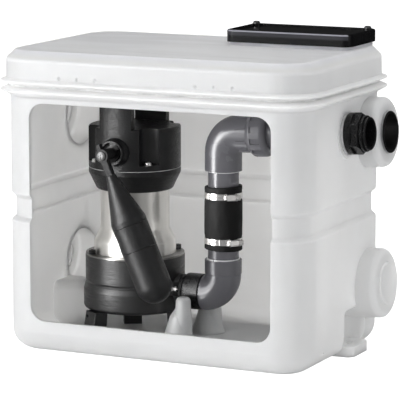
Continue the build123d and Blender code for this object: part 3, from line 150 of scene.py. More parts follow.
class StageSettings(PropertyGroup):
    """Studio round the station."""

    key_power: FloatProperty(
        name="Key light", description="Power of the tall soft box at the front left", unit="POWER",
        min=0, max=500, default=30.0)
    gleam_power: FloatProperty(
        name="Gleam light", description="Power of the light that only shows in glossy surfaces",
        unit="POWER", min=0, max=500, default=85.0)
    riser_gleam_power: FloatProperty(
        name="Riser gleam", description="Power of the narrow gleam along the riser", unit="POWER",
        min=0, max=5, default=0.24)
    fill_power: FloatProperty(
        name="Fill light", description="Power of the large weak light in front", unit="POWER",
        min=0, max=500, default=7.0)
    low_power: FloatProperty(
        name="Low light", description="Power of the low light that reaches into the window", unit="POWER",
        min=0, max=500, default=4.0)
    side_power: FloatProperty(
        name="Side light", description="Power of the light beside the outlet end wall", unit="POWER",
        min=0, max=500, default=12.0)
    top_power: FloatProperty(
        name="Top light", description="Power of the light overhead", unit="POWER",
        min=0, max=500, default=13.5)
    left_power: FloatProperty(
        name="Left light", description="Power of the light that shines through the left end wall",
        unit="POWER", min=0, max=500, default=5.0)
    front_gleam_power: FloatProperty(
        name="Front gleam", description="Power of the narrow gleam along edges and level pipes",
        unit="POWER", min=0, max=500, default=30.0)
    back_power: FloatProperty(
        name="Back light", description="Power of the light that shines through the back wall", unit="POWER",
        min=0, max=500, default=19.0)
    ambient: FloatProperty(
        name="Room light", description="Brightness of the room on matt surfaces",
        min=0, max=2, default=0.38)
    mirror_front: FloatProperty(
        name="Mirrored front", description="Brightness of the room before the station in glossy surfaces",
        min=0, max=2, default=0.3)
    mirror_behind: FloatProperty(
        name="Mirrored back", description="Brightness of the room behind the station in glossy surfaces",
        min=0, max=2, default=0.025)
    floor_lift: FloatProperty(
        name="Floor lift", description="How much whiter the floor is to the camera",
        min=0, max=1, default=0.9)
    focal_length: FloatProperty(
        name="Focal length", description="Long lens that the station is seen through",
        subtype="DISTANCE_CAMERA", min=50, max=400, default=238.4)


def new_material(name, colour, roughness, metallic=0.0):
    """Material with its principled shader ready for detail."""
    material = bpy.data.materials.new(name)
    material.use_nodes = True
    shader = material.node_tree.nodes["Principled BSDF"]
    shader.inputs["Base Color"].default_value = (*colour, 1)
    shader.inputs["Roughness"].default_value = roughness
    shader.inputs["Metallic"].default_value = metallic
    return material


def pattern(material, scale, detail=4.0, stretch=(1, 1, 1), kind="ShaderNodeTexNoise"):
    """Procedural texture on the object's own coordinates."""
    tree = material.node_tree
    coords = tree.nodes.new("ShaderNodeTexCoord")
    mapping = tree.nodes.new("ShaderNodeMapping")
    mapping.inputs["Scale"].default_value = stretch
    texture = tree.nodes.new(kind)
    texture.inputs["Scale"].default_value = scale
    if "Detail" in texture.inputs:
        texture.inputs["Detail"].default_value = detail
    tree.links.new(coords.outputs["Object"], mapping.inputs["Vector"])
    tree.links.new(mapping.outputs["Vector"], texture.inputs["Vector"])
    return texture


def own_axes(material):
    """The object's own coordinates as a node with X, Y and Z outputs."""
    tree = material.node_tree
    coords = tree.nodes.new("ShaderNodeTexCoord")
    apart = tree.nodes.new("ShaderNodeSeparateXYZ")
    tree.links.new(coords.outputs["Object"], apart.inputs["Vector"])
    return apart


def level(material, source, low, high, start=0.3, end=0.7):
    """Remap a value: at start it gives low, at end it gives high."""
    tree = material.node_tree
    ranged = tree.nodes.new("ShaderNodeMapRange")
    ranged.inputs["From Min"].default_value = start
    ranged.inputs["From Max"].default_value = end
    ranged.inputs["To Min"].default_value = low
    ranged.inputs["To Max"].default_value = high
    tree.links.new(source, ranged.inputs["Value"])
    return ranged.outputs["Result"]


def roughen(material, source, low, high):
    """Let a texture vary the roughness between two levels."""
    shader = material.node_tree.nodes["Principled BSDF"]
    material.node_tree.links.new(level(material, source, low, high), shader.inputs["Roughness"])


def add_bump(material, sources, distance):
    """Stack bump layers; sources are (output, strength) pairs."""
    tree = material.node_tree
    last = None
    for output, strength in sources:
        bump = tree.nodes.new("ShaderNodeBump")
        bump.inputs["Strength"].default_value = strength
        bump.inputs["Distance"].default_value = distance
        tree.links.new(output, bump.inputs["Height"])
        if last:
            tree.links.new(last, bump.inputs["Normal"])
        last = bump.outputs["Normal"]
    shader = tree.nodes["Principled BSDF"]
    tree.links.new(last, shader.inputs["Normal"])


def tint(material, source, dark, light):
    """Blend two colours by a texture value."""
    tree = material.node_tree
    ramp = tree.nodes.new("ShaderNodeValToRGB")
    ramp.color_ramp.elements[0].color = (*dark, 1)
    ramp.color_ramp.elements[1].color = (*light, 1)
    tree.links.new(source, ramp.inputs["Fac"])
    tree.links.new(ramp.outputs["Color"], tree.nodes["Principled BSDF"].inputs["Base Color"])


def shaded(colour, factor):
    return tuple(min(1.0, part * factor) for part in colour)


def moulded_material(name, colour):
    """Translucent natural white moulding with a soft, slightly uneven sheen."""
    settings = bpy.context.scene.station_finish
    material = new_material(name, colour, 0.42)
    cloud = pattern(material, 9.0, 3.0)
    tint(material, level(material, cloud.outputs["Fac"], 0, 1), shaded(colour, 0.95), shaded(colour, 1.02))
    grain = pattern(material, 900.0, 2.0)
    ripple = pattern(material, 28.0, 2.0)
    add_bump(material, [(ripple.outputs["Fac"], 0.12), (grain.outputs["Fac"], 0.10)], 0.0006)
    roughen(material, cloud.outputs["Fac"], 0.38, 0.48)
    shader = material.node_tree.nodes["Principled BSDF"]
    shader.inputs["Subsurface Weight"].default_value = settings.tank_glow
    shader.inputs["Subsurface Radius"].default_value = (1.0, 0.98, 0.95)
    shader.inputs["Subsurface Scale"].default_value = 0.03
    shader.inputs["Specular IOR Level"].default_value = 0.25
    return material


def lid_material(side_colour, top_light_colour):
    """Moulded white whose top face is painted a cooler white than its sides, as painted light, with faint
    flow marks.
    """
    material = moulded_material("lid_white", side_colour)
    tree = material.node_tree
    shader = tree.nodes["Principled BSDF"]
    flow = pattern(material, 5.0, 5.0, stretch=(0.6, 2.2, 1))
    flow.inputs["Distortion"].default_value = 1.5
    ramp = tree.nodes.new("ShaderNodeValToRGB")
    ramp.color_ramp.elements[0].color = (*shaded(top_light_colour, 0.93), 1)
    ramp.color_ramp.elements[1].color = (*top_light_colour, 1)
    tree.links.new(level(material, flow.outputs["Fac"], 0, 1, 0.42, 0.56), ramp.inputs["Fac"])
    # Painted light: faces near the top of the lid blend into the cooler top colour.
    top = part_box("filter_cover")[0].z
    lit_top_mask = level(material, own_axes(material).outputs["Z"], 0, 1, top - 0.012, top - 0.004)
    mix = tree.nodes.new("ShaderNodeMix")
    mix.data_type = "RGBA"
    tree.links.new(lit_top_mask, mix.inputs["Factor"])
    tree.links.new(shader.inputs["Base Color"].links[0].from_socket, mix.inputs["A"])
    tree.links.new(ramp.outputs["Color"], mix.inputs["B"])
    tree.links.new(mix.outputs["Result"], shader.inputs["Base Color"])
    return material


def grained_material(name, colour, roughness=0.38, stretch=(420, 420, 420), specular=0.5, depth=0.35):
    """Satin moulding with a fine grain over mottling, which the stretch can draw out into lines."""
    material = new_material(name, colour, roughness)
    material.node_tree.nodes["Principled BSDF"].inputs["Specular IOR Level"].default_value = specular
    grain = pattern(material, 1500.0, kind="ShaderNodeTexVoronoi")
    mottle = pattern(material, 1.0, 3.0, stretch=stretch)
    patch = pattern(material, 40.0, 4.0)
    tint(material, level(material, patch.outputs["Fac"], 0, 1), shaded(colour, 0.7), shaded(colour, 1.4))
    roughen(material, mottle.outputs["Fac"], roughness - 0.08, roughness + 0.12)
    add_bump(material, [(grain.outputs["Distance"], 0.2), (mottle.outputs["Fac"], depth),
                        (patch.outputs["Fac"], 0.05)], 0.0004)
    return material


def polished_black_material():
    """Polished black whose front face carries a painted reflection, a grey band, and above it a painted
    highlight along the upper edge.
    """
    settings = bpy.context.scene.station_finish
    colour = tuple(settings.cover_colour)
    material = new_material("polished_black", colour, 0.09)
    smear = pattern(material, 14.0, 3.0)
    tree = material.node_tree
    shader = tree.nodes["Principled BSDF"]
    shader.inputs["Specular IOR Level"].default_value = 0.18
    roughen(material, smear.outputs["Fac"], 0.06, 0.12)
    axes = own_axes(material)
    low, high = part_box("filter_cover")
    ramp = tree.nodes.new("ShaderNodeValToRGB")
    stops = ramp.color_ramp.elements
    # Painted reflection: a grey band across the front face; painted highlight: a bright line along its upper
    # edge.
    edge = settings.cover_edge_highlight / colour[0]
    stops[0].position, stops[0].color = 0.48, (*colour, 1)
    stops[1].position, stops[1].color = 0.62, (*shaded(colour, 10), 1)
    for position, factor in ((0.85, 11), (0.89, edge), (0.955, edge), (0.985, 1)):
        stops.new(position).color = (*shaded(colour, factor), 1)
    tree.links.new(level(material, axes.outputs["Z"], 0, 1, low.z, high.z), ramp.inputs["Fac"])
    # The painted reflection and highlight are kept to the front face.
    front_reflection_mask = level(material, axes.outputs["Y"], 1, 0, low.y + 0.003, low.y + 0.004)
    mix = tree.nodes.new("ShaderNodeMix")
    mix.data_type = "RGBA"
    mix.inputs["A"].default_value = (*colour, 1)
    tree.links.new(front_reflection_mask, mix.inputs["Factor"])
    tree.links.new(ramp.outputs["Color"], mix.inputs["B"])
    tree.links.new(mix.outputs["Result"], shader.inputs["Base Color"])
    add_bump(material, [(smear.outputs["Fac"], 0.05)], 0.0005)
    return material


def pipe_material():
    """Smooth grey pressure pipe, faintly cloudy in tone and gloss."""
    colour = tuple(bpy.context.scene.station_finish.pipe_colour)
    material = new_material("pipe_grey", colour, 0.23)
    cloud = pattern(material, 22.0, 4.0)
    fine = pattern(material, 600.0, 2.0)
    tint(material, level(material, cloud.outputs["Fac"], 0, 1), shaded(colour, 0.96), shaded(colour, 1.05))
    material.node_tree.nodes["Principled BSDF"].inputs["Specular IOR Level"].default_value = 0.36
    roughen(material, cloud.outputs["Fac"], 0.20, 0.28)
    add_bump(material, [(cloud.outputs["Fac"], 0.03), (fine.outputs["Fac"], 0.01)], 0.0004)
    return material


def steel_material(name, colour, roughness, lines=(60, 60, 4000)):
    """Stainless sheet with fine lines left by spinning or rolling."""
    material = new_material(name, colour, roughness, 1.0)
    line = pattern(material, 1.0, 3.0, stretch=lines)
    smear = pattern(material, 25.0, 3.0)
    roughen(material, line.outputs["Fac"], roughness - 0.05, roughness + 0.08)
    tint(material, level(material, smear.outputs["Fac"], 0, 1), shaded(colour, 0.95), shaded(colour, 1.04))
    add_bump(material, [(line.outputs["Fac"], 0.05)], 0.0002)
    return material


def rubber_material(name, colour, roughness=0.7):
    """Matt rubber with a fine weave and dusty patches."""
    material = new_material(name, colour, roughness)
    material.node_tree.nodes["Principled BSDF"].inputs["Specular IOR Level"].default_value = 0.14
    weave = pattern(material, 1.0, 2.0, stretch=(200, 200, 520))
    patch = pattern(material, 60.0, 5.0)
    tint(material, level(material, patch.outputs["Fac"], 0, 1), shaded(colour, 0.75), shaded(colour, 1.5))
    roughen(material, patch.outputs["Fac"], roughness - 0.1, roughness + 0.1)
    add_bump(material, [(weave.outputs["Fac"], 0.9), (patch.outputs["Fac"], 0.3)], 0.0004)
    return material


def barrel_material(colour):
    """Spun stainless can with painted reflection, soft upright darker bands on the barrel, and painted shade
    that darkens the foot flange.
    """
    material = steel_material("spun_steel", colour, 0.33)
    # Painted reflection: soft upright darker bands round the barrel.
    bands = pattern(material, 1.0, 1.0, stretch=(45, 45, 0.5))
    shade = level(material, bands.outputs["Fac"], 0.6, 1.0)
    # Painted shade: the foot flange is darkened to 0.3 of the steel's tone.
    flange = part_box("motor_shell")[0].z
    foot = level(material, own_axes(material).outputs["Z"], 0.3, 1.0, flange + 0.0022, flange + 0.0030)
    tree = material.node_tree
    both = tree.nodes.new("ShaderNodeMath")
    both.operation = "MULTIPLY"
    tree.links.new(shade, both.inputs[0])
    tree.links.new(foot, both.inputs[1])
    tint(material, both.outputs["Value"], (0, 0, 0), colour)
    return material


def copper_material():
    """Enamelled wire wound side by side."""
    material = new_material("wound_copper", (0.62, 0.27, 0.12), 0.35, 0.8)
    strands = pattern(material, 700.0, 1.0, kind="ShaderNodeTexWave")
    strands.inputs["Distortion"].default_value = 3.0
    tint(material, strands.outputs["Fac"], (0.35, 0.13, 0.05), (0.75, 0.36, 0.18))
    add_bump(material, [(strands.outputs["Fac"], 0.6)], 0.0004)
    return material


def laminated_material():
    """Edges of stacked electrical sheet."""
    material = new_material("laminations", (0.3, 0.3, 0.31), 0.4, 0.9)
    sheets = pattern(material, 900.0, 0.0, kind="ShaderNodeTexWave")
    sheets.bands_direction = "Z"
    tint(material, sheets.outputs["Fac"], (0.16, 0.16, 0.17), (0.38, 0.38, 0.39))
    add_bump(material, [(sheets.outputs["Fac"], 0.4)], 0.0003)
    return material


def paint(material, *names):
    """Give CAD nodes one finish."""
    for name in names:
        mesh = NODES[name].data
        mesh.materials.clear()
        mesh.materials.append(material)


def mesh_object(name, mesh):
    item = bpy.data.objects.new(name, mesh)
    bpy.context.scene.collection.objects.link(item)
    return item


def smooth(item, angle=math.radians(35)):
    """Smooth shading with sharp creases kept."""
    mesh = item.data
    mesh.polygons.foreach_set("use_smooth", [True] * len(mesh.polygons))
    mesh.set_sharp_from_angle(angle=angle)


class STATION_OT_tank(Operator):
    """Finish the moulded tank and its lid"""

    bl_idname = "station.tank"
    bl_label = "Tank and lid"

    def execute(self, context):
        finish = context.scene.station_finish
        paint(moulded_material("moulded_white", tuple(finish.tank_colour)), "tank")
        paint(lid_material(tuple(finish.tank_colour), tuple(finish.lid_top_light_colour)), "lid")
        paint(rubber_material("lid_seal_rubber", (0.86, 0.86, 0.85)), "lid_gasket")
        return {"FINISHED"}


class STATION_OT_filter_box(Operator):
    """Finish the filter cover, its screws and the carbon slab under it"""

    bl_idname = "station.filter_box"
    bl_label = "Filter box"

    def execute(self, context):
        paint(polished_black_material(), "filter_cover")
        dark = grained_material("screw_black", (0.012, 0.012, 0.012), 0.3)
        paint(dark, "filter_cover_screws", "casing_screws")
        paint(rubber_material("active_carbon", (0.02, 0.02, 0.02), 0.9), "carbon_filter")
        return {"FINISHED"}


def sleeve_radius(height, clamps, settings):
    """Outer radius of the sleeve at a height: drawn in at the clamps, swollen between them."""
    low, high = clamps
    radius = SLEEVE_RADIUS
    if low < height < high:
        radius += settings.bulge * math.sin(math.pi * (height - low) / (high - low))
    for clamp in clamps:
        away = abs(height - clamp) - BAND_WIDTH / 2 - 0.0006
        pull = 1 - min(max(away / 0.0035, 0), 1)
        radius += (BAND_SEAT - radius) * (3 * pull ** 2 - 2 * pull ** 3)
    for end in (SLEEVE_LOW, SLEEVE_HIGH):
        radius -= 0.0007 * max(0, 1 - abs(height - end) / 0.0008) ** 2
    return radius


class STATION_OT_sleeve(Operator):
    """Build the rubber sleeve, dented by its clamps, with uneven cut ends"""

    bl_idname = "station.sleeve"
    bl_label = "Rubber sleeve"

    def execute(self, context):
        settings = context.scene.station_sleeve
        clamps = [(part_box(name)[0].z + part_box(name)[1].z) / 2 for name in ("lower_clamp", "upper_clamp")]
        rings, around = 150, 144
        bore = PIPE_RADIUS + 0.0001
        profile = []
        for i in range(rings + 1):
            height = SLEEVE_LOW + (SLEEVE_HIGH - SLEEVE_LOW) * i / rings
            profile.append((sleeve_radius(height, clamps, settings), height))
        profile += [(bore + 0.0012, SLEEVE_HIGH), (bore, SLEEVE_HIGH - 0.001), (bore, SLEEVE_LOW + 0.001),
                    (bore + 0.0012, SLEEVE_LOW)]
        points, faces = [], []
        for j in range(around):
            turn = 2 * math.pi * j / around
            for i, (radius, height) in enumerate(profile):
                lean = settings.lean * math.cos(turn) * (height - RISER.z) / (SLEEVE_HIGH - RISER.z)
                if i <= rings:
                    near = min(abs(height - clamp) for clamp in clamps)
                    loose = min(max((near - BAND_WIDTH / 2 - 0.001) / 0.006, 0), 1)
                    spot = Vector((math.cos(turn) * 3, math.sin(turn) * 3, height * 60))
                    radius += settings.wave * loose * noise.noise(spot)
                along, across = radius * math.cos(turn), radius * math.sin(turn)
                points.append((RISER.x + along, RISER.y + across, height + lean))
        count = len(profile)
        for j in range(around):
            for i in range(count):
                a, b = j * count + i, j * count + (i + 1) % count
                other = (j + 1) % around * count
                faces.append((a, other + i, other + (i + 1) % count, b))
        mesh = bpy.data.meshes.new("clamped_sleeve")
        mesh.from_pydata(points, [], faces)
        colour = tuple(context.scene.station_finish.rubber_colour)
        mesh.materials.append(rubber_material("sleeve_rubber", colour))
        sleeve = mesh_object("clamped_sleeve", mesh)
        smooth(sleeve)
        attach(sleeve, "station")
        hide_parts("rubber_sleeve")
        return {"FINISHED"}


def slot_tree(material):
    """Geometry nodes that set a row of slots round the middle of a clamp band."""
    tree = bpy.data.node_groups.new("band_slots", "GeometryNodeTree")
    sockets = tree.interface
    for name in ("Radius", "Width", "Length", "Height", "Turn"):
        sockets.new_socket(name, in_out="INPUT", socket_type="NodeSocketFloat")
    sockets.new_socket("Count", in_out="INPUT", socket_type="NodeSocketInt")
    sockets.new_socket("Geometry", in_out="OUTPUT", socket_type="NodeSocketGeometry")
    nodes, links = tree.nodes, tree.links
    given = nodes.new("NodeGroupInput")
    result = nodes.new("NodeGroupOutput")
    circle = nodes.new("GeometryNodeMeshCircle")
    links.new(given.outputs["Count"], circle.inputs["Vertices"])
    links.new(given.outputs["Radius"], circle.inputs["Radius"])
    box = nodes.new("GeometryNodeMeshCube")
    size = nodes.new("ShaderNodeCombineXYZ")
    size.inputs["X"].default_value = SLOT_THICKNESS
    links.new(given.outputs["Width"], size.inputs["Y"])
    links.new(given.outputs["Length"], size.inputs["Z"])
    links.new(size.outputs["Vector"], box.inputs["Size"])
    place = nodes.new("GeometryNodeInputPosition")
    apart = nodes.new("ShaderNodeSeparateXYZ")
    links.new(place.outputs["Position"], apart.inputs["Vector"])
    angle = nodes.new("ShaderNodeMath")
    angle.operation = "ARCTAN2"
    links.new(apart.outputs["Y"], angle.inputs[0])
    links.new(apart.outputs["X"], angle.inputs[1])
    turned = nodes.new("ShaderNodeCombineXYZ")
    links.new(angle.outputs["Value"], turned.inputs["Z"])
    scatter = nodes.new("GeometryNodeInstanceOnPoints")
    links.new(circle.outputs["Mesh"], scatter.inputs["Points"])
    links.new(box.outputs["Mesh"], scatter.inputs["Instance"])
    links.new(turned.outputs["Vector"], scatter.inputs["Rotation"])
    move = nodes.new("GeometryNodeTransform")
    shift = nodes.new("ShaderNodeCombineXYZ")
    shift.inputs["X"].default_value = RISER.x
    shift.inputs["Y"].default_value = RISER.y
    links.new(given.outputs["Height"], shift.inputs["Z"])
    spin = nodes.new("ShaderNodeCombineXYZ")
    links.new(given.outputs["Turn"], spin.inputs["Z"])
    links.new(scatter.outputs["Instances"], move.inputs["Geometry"])
    links.new(shift.outputs["Vector"], move.inputs["Translation"])
    links.new(spin.outputs["Vector"], move.inputs["Rotation"])
    real = nodes.new("GeometryNodeRealizeInstances")
    links.new(move.outputs["Geometry"], real.inputs["Geometry"])
    coat = nodes.new("GeometryNodeSetMaterial")
    coat.inputs["Material"].default_value = material
    links.new(real.outputs["Geometry"], coat.inputs["Geometry"])
    links.new(coat.outputs["Geometry"], result.inputs["Geometry"])
    return tree


def made_by(name, tree, values):
    """Run a geometry node tree once and keep its result as a plain mesh object."""
    carrier = mesh_object(name, bpy.data.meshes.new(name))
    modifier = carrier.modifiers.new(name, "NODES")
    modifier.node_group = tree
    for item in tree.interface.items_tree:
        if item.item_type == "SOCKET" and item.in_out == "INPUT" and item.name in values:
            modifier[item.identifier] = values[item.name]
    bpy.context.view_layer.update()
    evaluated = carrier.evaluated_get(bpy.context.evaluated_depsgraph_get())
    mesh = bpy.data.meshes.new_from_object(evaluated)
    carrier.modifiers.remove(modifier)
    carrier.data = mesh
    return carrier


class STATION_OT_clamps(Operator):
    """Mark the worm slots round both clamp bands"""

    bl_idname = "station.clamps"
    bl_label = "Clamp slots"

    def execute(self, context):
        settings = context.scene.station_clamp
        shadow = steel_material("slot_shadow", (0.60, 0.60, 0.60), 0.35)
        tree = slot_tree(shadow)
        for name, turn in (("lower_clamp", 0.1), ("upper_clamp", 0.2)):
            low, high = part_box(name)
            slots = made_by(name + "_slots", tree, {
                "Radius": BAND_SEAT + SLOT_PROUD, "Width": settings.slot_width, "Length": SLOT_LENGTH,
                "Height": (low.z + high.z) / 2, "Turn": turn, "Count": settings.slots})
            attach(slots, "station")
        return {"FINISHED"}


class STATION_OT_pipework(Operator):
    """Finish the pipes, elbows, union, check valve and their cement beads"""

    bl_idname = "station.pipework"
    bl_label = "Pipework"

    def execute(self, context):
        paint(pipe_material(), "upper_elbow", "lower_elbow", "upper_pipe", "lower_pipe", "union_nut",
              "union_tail", "check_valve_body")
        cement = new_material("white_cement", (0.85, 0.85, 0.86), 0.35)
        lumps = pattern(cement, 220.0, 3.0)
        add_bump(cement, [(lumps.outputs["Fac"], 0.5)], 0.0005)
        paint(cement, "joint_beads")
        return {"FINISHED"}


class STATION_OT_seals(Operator):
    """Finish the rubber parts"""

    bl_idname = "station.seals"
    bl_label = "Rubber parts"

    def execute(self, context):
        colour = tuple(context.scene.station_finish.rubber_colour)
        black = rubber_material("inlet_rubber", colour, 0.5)
        paint(black, "inlet_seal", "check_flap", "union_seal", "spindle_seal")
        pale = rubber_material("pale_rubber", (0.42, 0.42, 0.43), 0.6)
        paint(pale, "outlet_gasket", "outlet_inner_seal")
        return {"FINISHED"}


class STATION_OT_outlet(Operator):
    """Finish the black outlet fitting"""

    bl_idname = "station.outlet"
    bl_label = "Outlet"

    def execute(self, context):
        black = grained_material("outlet_black", (0.005, 0.005, 0.0055), 0.3, specular=0.25)
        paint(black, "outlet_body", "outlet_nut", "outlet_lock_ring", "discharge_socket")
        return {"FINISHED"}


class STATION_OT_pump(Operator):
    """Finish the pump: castings, steel barrel and the motor inside"""

    bl_idname = "station.pump"
    bl_label = "Pump"

    def execute(self, context):
        colour = tuple(context.scene.station_finish.casing_colour)
        casing = grained_material("casing_black", colour, stretch=(70, 70, 450), depth=0.9)
        paint(casing, "volute_casing", "suction_cover", "pump_feet", "impeller")
        head = grained_material("head_black", shaded(colour, 0.8), stretch=(220, 220, 480), specular=0.31,
                                depth=0.8)
        paint(head, "bearing_carrier", "head_ring", "head_cover", "handle_bridge", "cable_gland")
        paint(barrel_material(tuple(context.scene.station_finish.steel_colour)), "motor_shell")
        ground = steel_material("ground_steel", (0.6, 0.6, 0.61), 0.2)
        paint(ground, "lower_bearing", "upper_bearing", "shaft_seal", "motor_shaft")
        paint(laminated_material(), "stator_core", "rotor_core")
        paint(copper_material(), "stator_windings")
        switch = grained_material("switch_black", (0.03, 0.03, 0.035), 0.35)
        paint(switch, "capacitor", "microswitch", "switch_plunger")
        return {"FINISHED"}


def ring_mesh(name, profile, place, material, around=160):
    """Ring of a closed counter-clockwise profile of (radius, height); place sets it in the frame."""
    points, faces = [], []
    count = len(profile)
    for j in range(around):
        turn = 2 * math.pi * j / around
        for radius, height in profile:
            points.append(place(radius * math.cos(turn), radius * math.sin(turn), height))
    for j in range(around):
        here, there = count * j, count * ((j + 1) % around)
        for i in range(count):
            k = (i + 1) % count
            faces.append((here + i, there + i, there + k, here + k))
    mesh = bpy.data.meshes.new(name)
    mesh.from_pydata(points, [], faces)
    mesh.materials.append(material)
    item = mesh_object(name, mesh)
    smooth(item)
    return item


class STATION_OT_head_seam(Operator):
    """Lay a thin pale ring between the two halves of the pump's head as a painted highlight along the seam
    """

    bl_idname = "station.head_seam"
    bl_label = "Head seam"

    def execute(self, context):
        low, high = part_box("head_ring")
        middle = (low + high) / 2
        radius = (high.x - low.x) / 2
        base = high.z - SEAM_SINK
        inner, outer, top = radius - SEAM_DEPTH, radius + SEAM_PROUD, base + SEAM_HEIGHT
        # Painted highlight: pale grey stands for light caught on the upper edge of the head ring.
        pale = rubber_material("seam_highlight", (0.55, 0.55, 0.55), 0.5)
        seam = ring_mesh("head_seam", ((inner, base), (outer, base), (outer, top), (inner, top)),
                         lambda x, y, z: (middle.x + x, middle.y + y, z), pale)
        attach(seam, "station")
        return {"FINISHED"}


class STATION_OT_boss_cup(Operator):
    """Lay a dull black ring in the groove round the float's spindle as painted shade"""

    bl_idname = "station.boss_cup"
    bl_label = "Groove shade"

    def execute(self, context):
        low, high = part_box("float_spindle")
        middle = (low + high) / 2
        # Painted shade: a dull black ring on the groove's floor and outer wall.
        dull = rubber_material("groove_painted_shade", (0.003, 0.003, 0.003), 0.8)
        floor, face = GROOVE_FLOOR, GROOVE_FLOOR + GROOVE_DEPTH
        wall, top = GROOVE_OUTER - SHADE_WALL, floor + SHADE_FLOOR
        profile = ((GROOVE_INNER, floor), (GROOVE_OUTER, floor), (GROOVE_OUTER, face), (wall, face),
                   (wall, top), (GROOVE_INNER, top))
        shade_ring = ring_mesh("groove_shade", profile, lambda x, y, z: (middle.x + x, -z, middle.z + y), dull)
        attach(shade_ring, "station")
        return {"FINISHED"}


class STATION_OT_float(Operator):
    """Finish the float and its arm"""

    bl_idname = "station.float"
    bl_label = "Float"

    def execute(self, context):
        shell = grained_material("float_black", (0.008, 0.008, 0.0085), 0.38, specular=0.32)
        paint(shell, "float_neck", "float_middle", "float_cap")
        arm = grained_material("arm_black", (0.006, 0.006, 0.0065), 0.4, specular=0.2)
        paint(arm, "float_spindle", "float_arm")
        return {"FINISHED"}


class STATION_OT_fasteners(Operator):
    """Finish the clamps and every bright screw"""

    bl_idname = "station.fasteners"
    bl_label = "Clamps and screws"

    def execute(self, context):
        paint(steel_material("band_steel", (0.72, 0.71, 0.70), 0.2), "lower_clamp", "upper_clamp")
        paint(steel_material("screw_steel", (0.68, 0.67, 0.66), 0.26), "clamp_screws", "head_screws",
              "handle_screws", "discharge_screws", "impeller_nut", "flap_pin")
        paint(steel_material("dull_screw", (0.18, 0.18, 0.18), 0.55), "float_screw")
        return {"FINISHED"}


def area_light(name, power, width, height, place, target, gleam=False):
    """Rectangular lamp; a gleam is seen in glossy surfaces alone and lights nothing matt."""
    lamp = bpy.data.lights.new(name, "AREA")
    lamp.energy = power
    lamp.shape = "RECTANGLE"
    lamp.size = width
    lamp.size_y = height
    item = bpy.data.objects.new(name, lamp)
    item.location = place
    item.rotation_euler = (Vector(target) - Vector(place)).to_track_quat("-Z", "Y").to_euler()
    item.visible_camera = not gleam
    item.visible_diffuse = not gleam
    bpy.context.scene.collection.objects.link(item)
    return item


def pick(tree, chooser, otherwise, chosen):
    """Value that is `chosen` where the chooser is 1; each choice is a number or another output."""
    mix = tree.nodes.new("ShaderNodeMix")
    tree.links.new(chooser, mix.inputs["Factor"])
    for socket, value in (("A", otherwise), ("B", chosen)):
        if isinstance(value, float):
            mix.inputs[socket].default_value = value
        else:
            tree.links.new(value, mix.inputs[socket])
    return mix.outputs["Result"]


def studio_world(ambient, front, behind):
    """White to the camera, even on matt surfaces, and in mirrors bright in front and dark behind."""
    world = bpy.data.worlds.new("studio")
    world.use_nodes = True
    tree = world.node_tree
    coords = tree.nodes.new("ShaderNodeTexCoord")
    apart = tree.nodes.new("ShaderNodeSeparateXYZ")
    tree.links.new(coords.outputs["Generated"], apart.inputs["Vector"])
    room = tree.nodes.new("ShaderNodeMapRange")
    room.inputs["From Min"].default_value = -0.6
    room.inputs["From Max"].default_value = 0.6
    room.inputs["To Min"].default_value = front
    room.inputs["To Max"].default_value = behind
    tree.links.new(apart.outputs["Y"], room.inputs["Value"])
    path = tree.nodes.new("ShaderNodeLightPath")
    lit = pick(tree, path.outputs["Is Glossy Ray"], ambient, room.outputs["Result"])
    background = tree.nodes["Background"]
    background.inputs["Color"].default_value = (1, 1, 1, 1)
    tree.links.new(pick(tree, path.outputs["Is Camera Ray"], lit, 1.0), background.inputs["Strength"])
    return world


def floor_material(lift):
    """White floor, lifted to pure white for the camera alone, so that it still takes a shadow."""
    material = new_material("floor_white", (0.9, 0.9, 0.9), 0.7)
    speckle = pattern(material, 5.0, 3.0)
    tint(material, speckle.outputs["Fac"], (0.9, 0.9, 0.9), (0.92, 0.92, 0.92))
    tree = material.node_tree
    path = tree.nodes.new("ShaderNodeLightPath")
    glow = level(material, path.outputs["Is Camera Ray"], 0.0, lift, 0.0, 1.0)
    shader = tree.nodes["Principled BSDF"]
    shader.inputs["Emission Color"].default_value = (1, 1, 1, 1)
    tree.links.new(glow, shader.inputs["Emission Strength"])
    return material


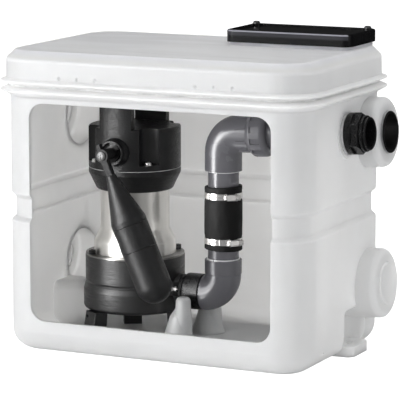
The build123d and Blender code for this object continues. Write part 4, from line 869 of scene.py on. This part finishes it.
class STATION_OT_stage(Operator):
    """Set up the floor, the soft lights and the camera"""

    bl_idname = "station.stage"
    bl_label = "Stage"

    def execute(self, context):
        settings = context.scene.station_stage
        floor_mesh = bpy.data.meshes.new("floor")
        corners = [(x * FLOOR_REACH, y * FLOOR_REACH, 0) for x, y in ((-1, -1), (1, -1), (1, 1), (-1, 1))]
        floor_mesh.from_pydata(corners, [], [(0, 1, 2, 3)])
        floor = mesh_object("floor", floor_mesh)
        floor_mesh.materials.append(floor_material(settings.floor_lift))
        floor.visible_glossy = False
        floor.visible_shadow = False
        context.scene.world = studio_world(settings.ambient, settings.mirror_front, settings.mirror_behind)
        middle = (0, 0, 0.2)
        area_light("key_light", settings.key_power, 0.4, 2.4, (-1.23, -1.82, 0.5), middle)
        area_light("gleam_light", settings.gleam_power, 0.76, 2.4, (-1.354, -1.734, 0.5), middle, True)
        area_light("front_gleam", settings.front_gleam_power, 2.0, 0.25, (-1.35, -2.8, 1.1), middle, True)
        riser_middle = Vector((RISER.x, RISER.y, 0.17))
        beside = riser_middle + Vector((-0.044, -0.064, 0))
        area_light("riser_gleam", settings.riser_gleam_power, 0.024, 0.28, beside, riser_middle, True)
        area_light("fill_light", settings.fill_power, 2.2, 1.8, (0.5, -3.2, 1.0), middle)
        low = area_light("low_light", settings.low_power, 1.2, 0.8, (1.5, -2.6, 0.35), (-0.1, 0, 0.08))
        low.visible_glossy = False
        area_light("side_light", settings.side_power, 1.6, 1.6, (2.7, -0.4, 0.9), middle)
        area_light("top_light", settings.top_power, 1.4, 1.4, (0.3, 0.2, 2.2), middle)
        for name, power, place in (("back_light", settings.back_power, (-0.2, 2.4, 0.8)),
                                   ("left_light", settings.left_power, (-2.3, 0.3, 0.5))):
            lamp = area_light(name, power, 2.0, 1.2, place, middle)
            lamp.visible_glossy = False

        lens = bpy.data.cameras.new("camera")
        lens.lens = settings.focal_length
        lens.sensor_width = 36.0
        camera = bpy.data.objects.new("camera", lens)
        camera.location = CAMERA_PLACE
        aim = Vector(CAMERA_AIM) - Vector(CAMERA_PLACE)
        camera.rotation_euler = aim.to_track_quat("-Z", "Y").to_euler()
        context.scene.collection.objects.link(camera)
        context.scene.camera = camera
        context.scene.view_settings.view_transform = "Standard"
        return {"FINISHED"}


PIECES = (STATION_OT_tank, STATION_OT_filter_box, STATION_OT_pipework, STATION_OT_sleeve, STATION_OT_clamps,
          STATION_OT_seals, STATION_OT_outlet, STATION_OT_pump, STATION_OT_head_seam,
          STATION_OT_boss_cup, STATION_OT_float, STATION_OT_fasteners, STATION_OT_stage)
SETTINGS = {"station_finish": FinishSettings, "station_sleeve": SleeveSettings,
            "station_clamp": ClampSettings, "station_stage": StageSettings}


class STATION_PT_panel(Panel):
    """Lists the station's pieces and their settings"""

    bl_idname = "STATION_PT_panel"
    bl_label = "Station"
    bl_space_type = "VIEW_3D"
    bl_region_type = "UI"
    bl_category = "Station"

    def draw(self, context):
        for piece in PIECES:
            self.layout.operator(piece.bl_idname)
        for group in SETTINGS:
            settings = getattr(context.scene, group)
            for name in settings.bl_rna.properties.keys():
                if name not in ("rna_type", "name"):
                    self.layout.prop(settings, name)


CLASSES = (*SETTINGS.values(), *PIECES, STATION_PT_panel)


def register():
    for cls in CLASSES:
        bpy.utils.register_class(cls)
    for name, group in SETTINGS.items():
        setattr(bpy.types.Scene, name, PointerProperty(type=group))


def unregister():
    for name in SETTINGS:
        delattr(bpy.types.Scene, name)
    for cls in reversed(CLASSES):
        bpy.utils.unregister_class(cls)


def main():
    register()
    for piece in PIECES:
        group, name = piece.bl_idname.split(".")
        getattr(getattr(bpy.ops, group), name)()


if __name__ == "__main__":
    main()
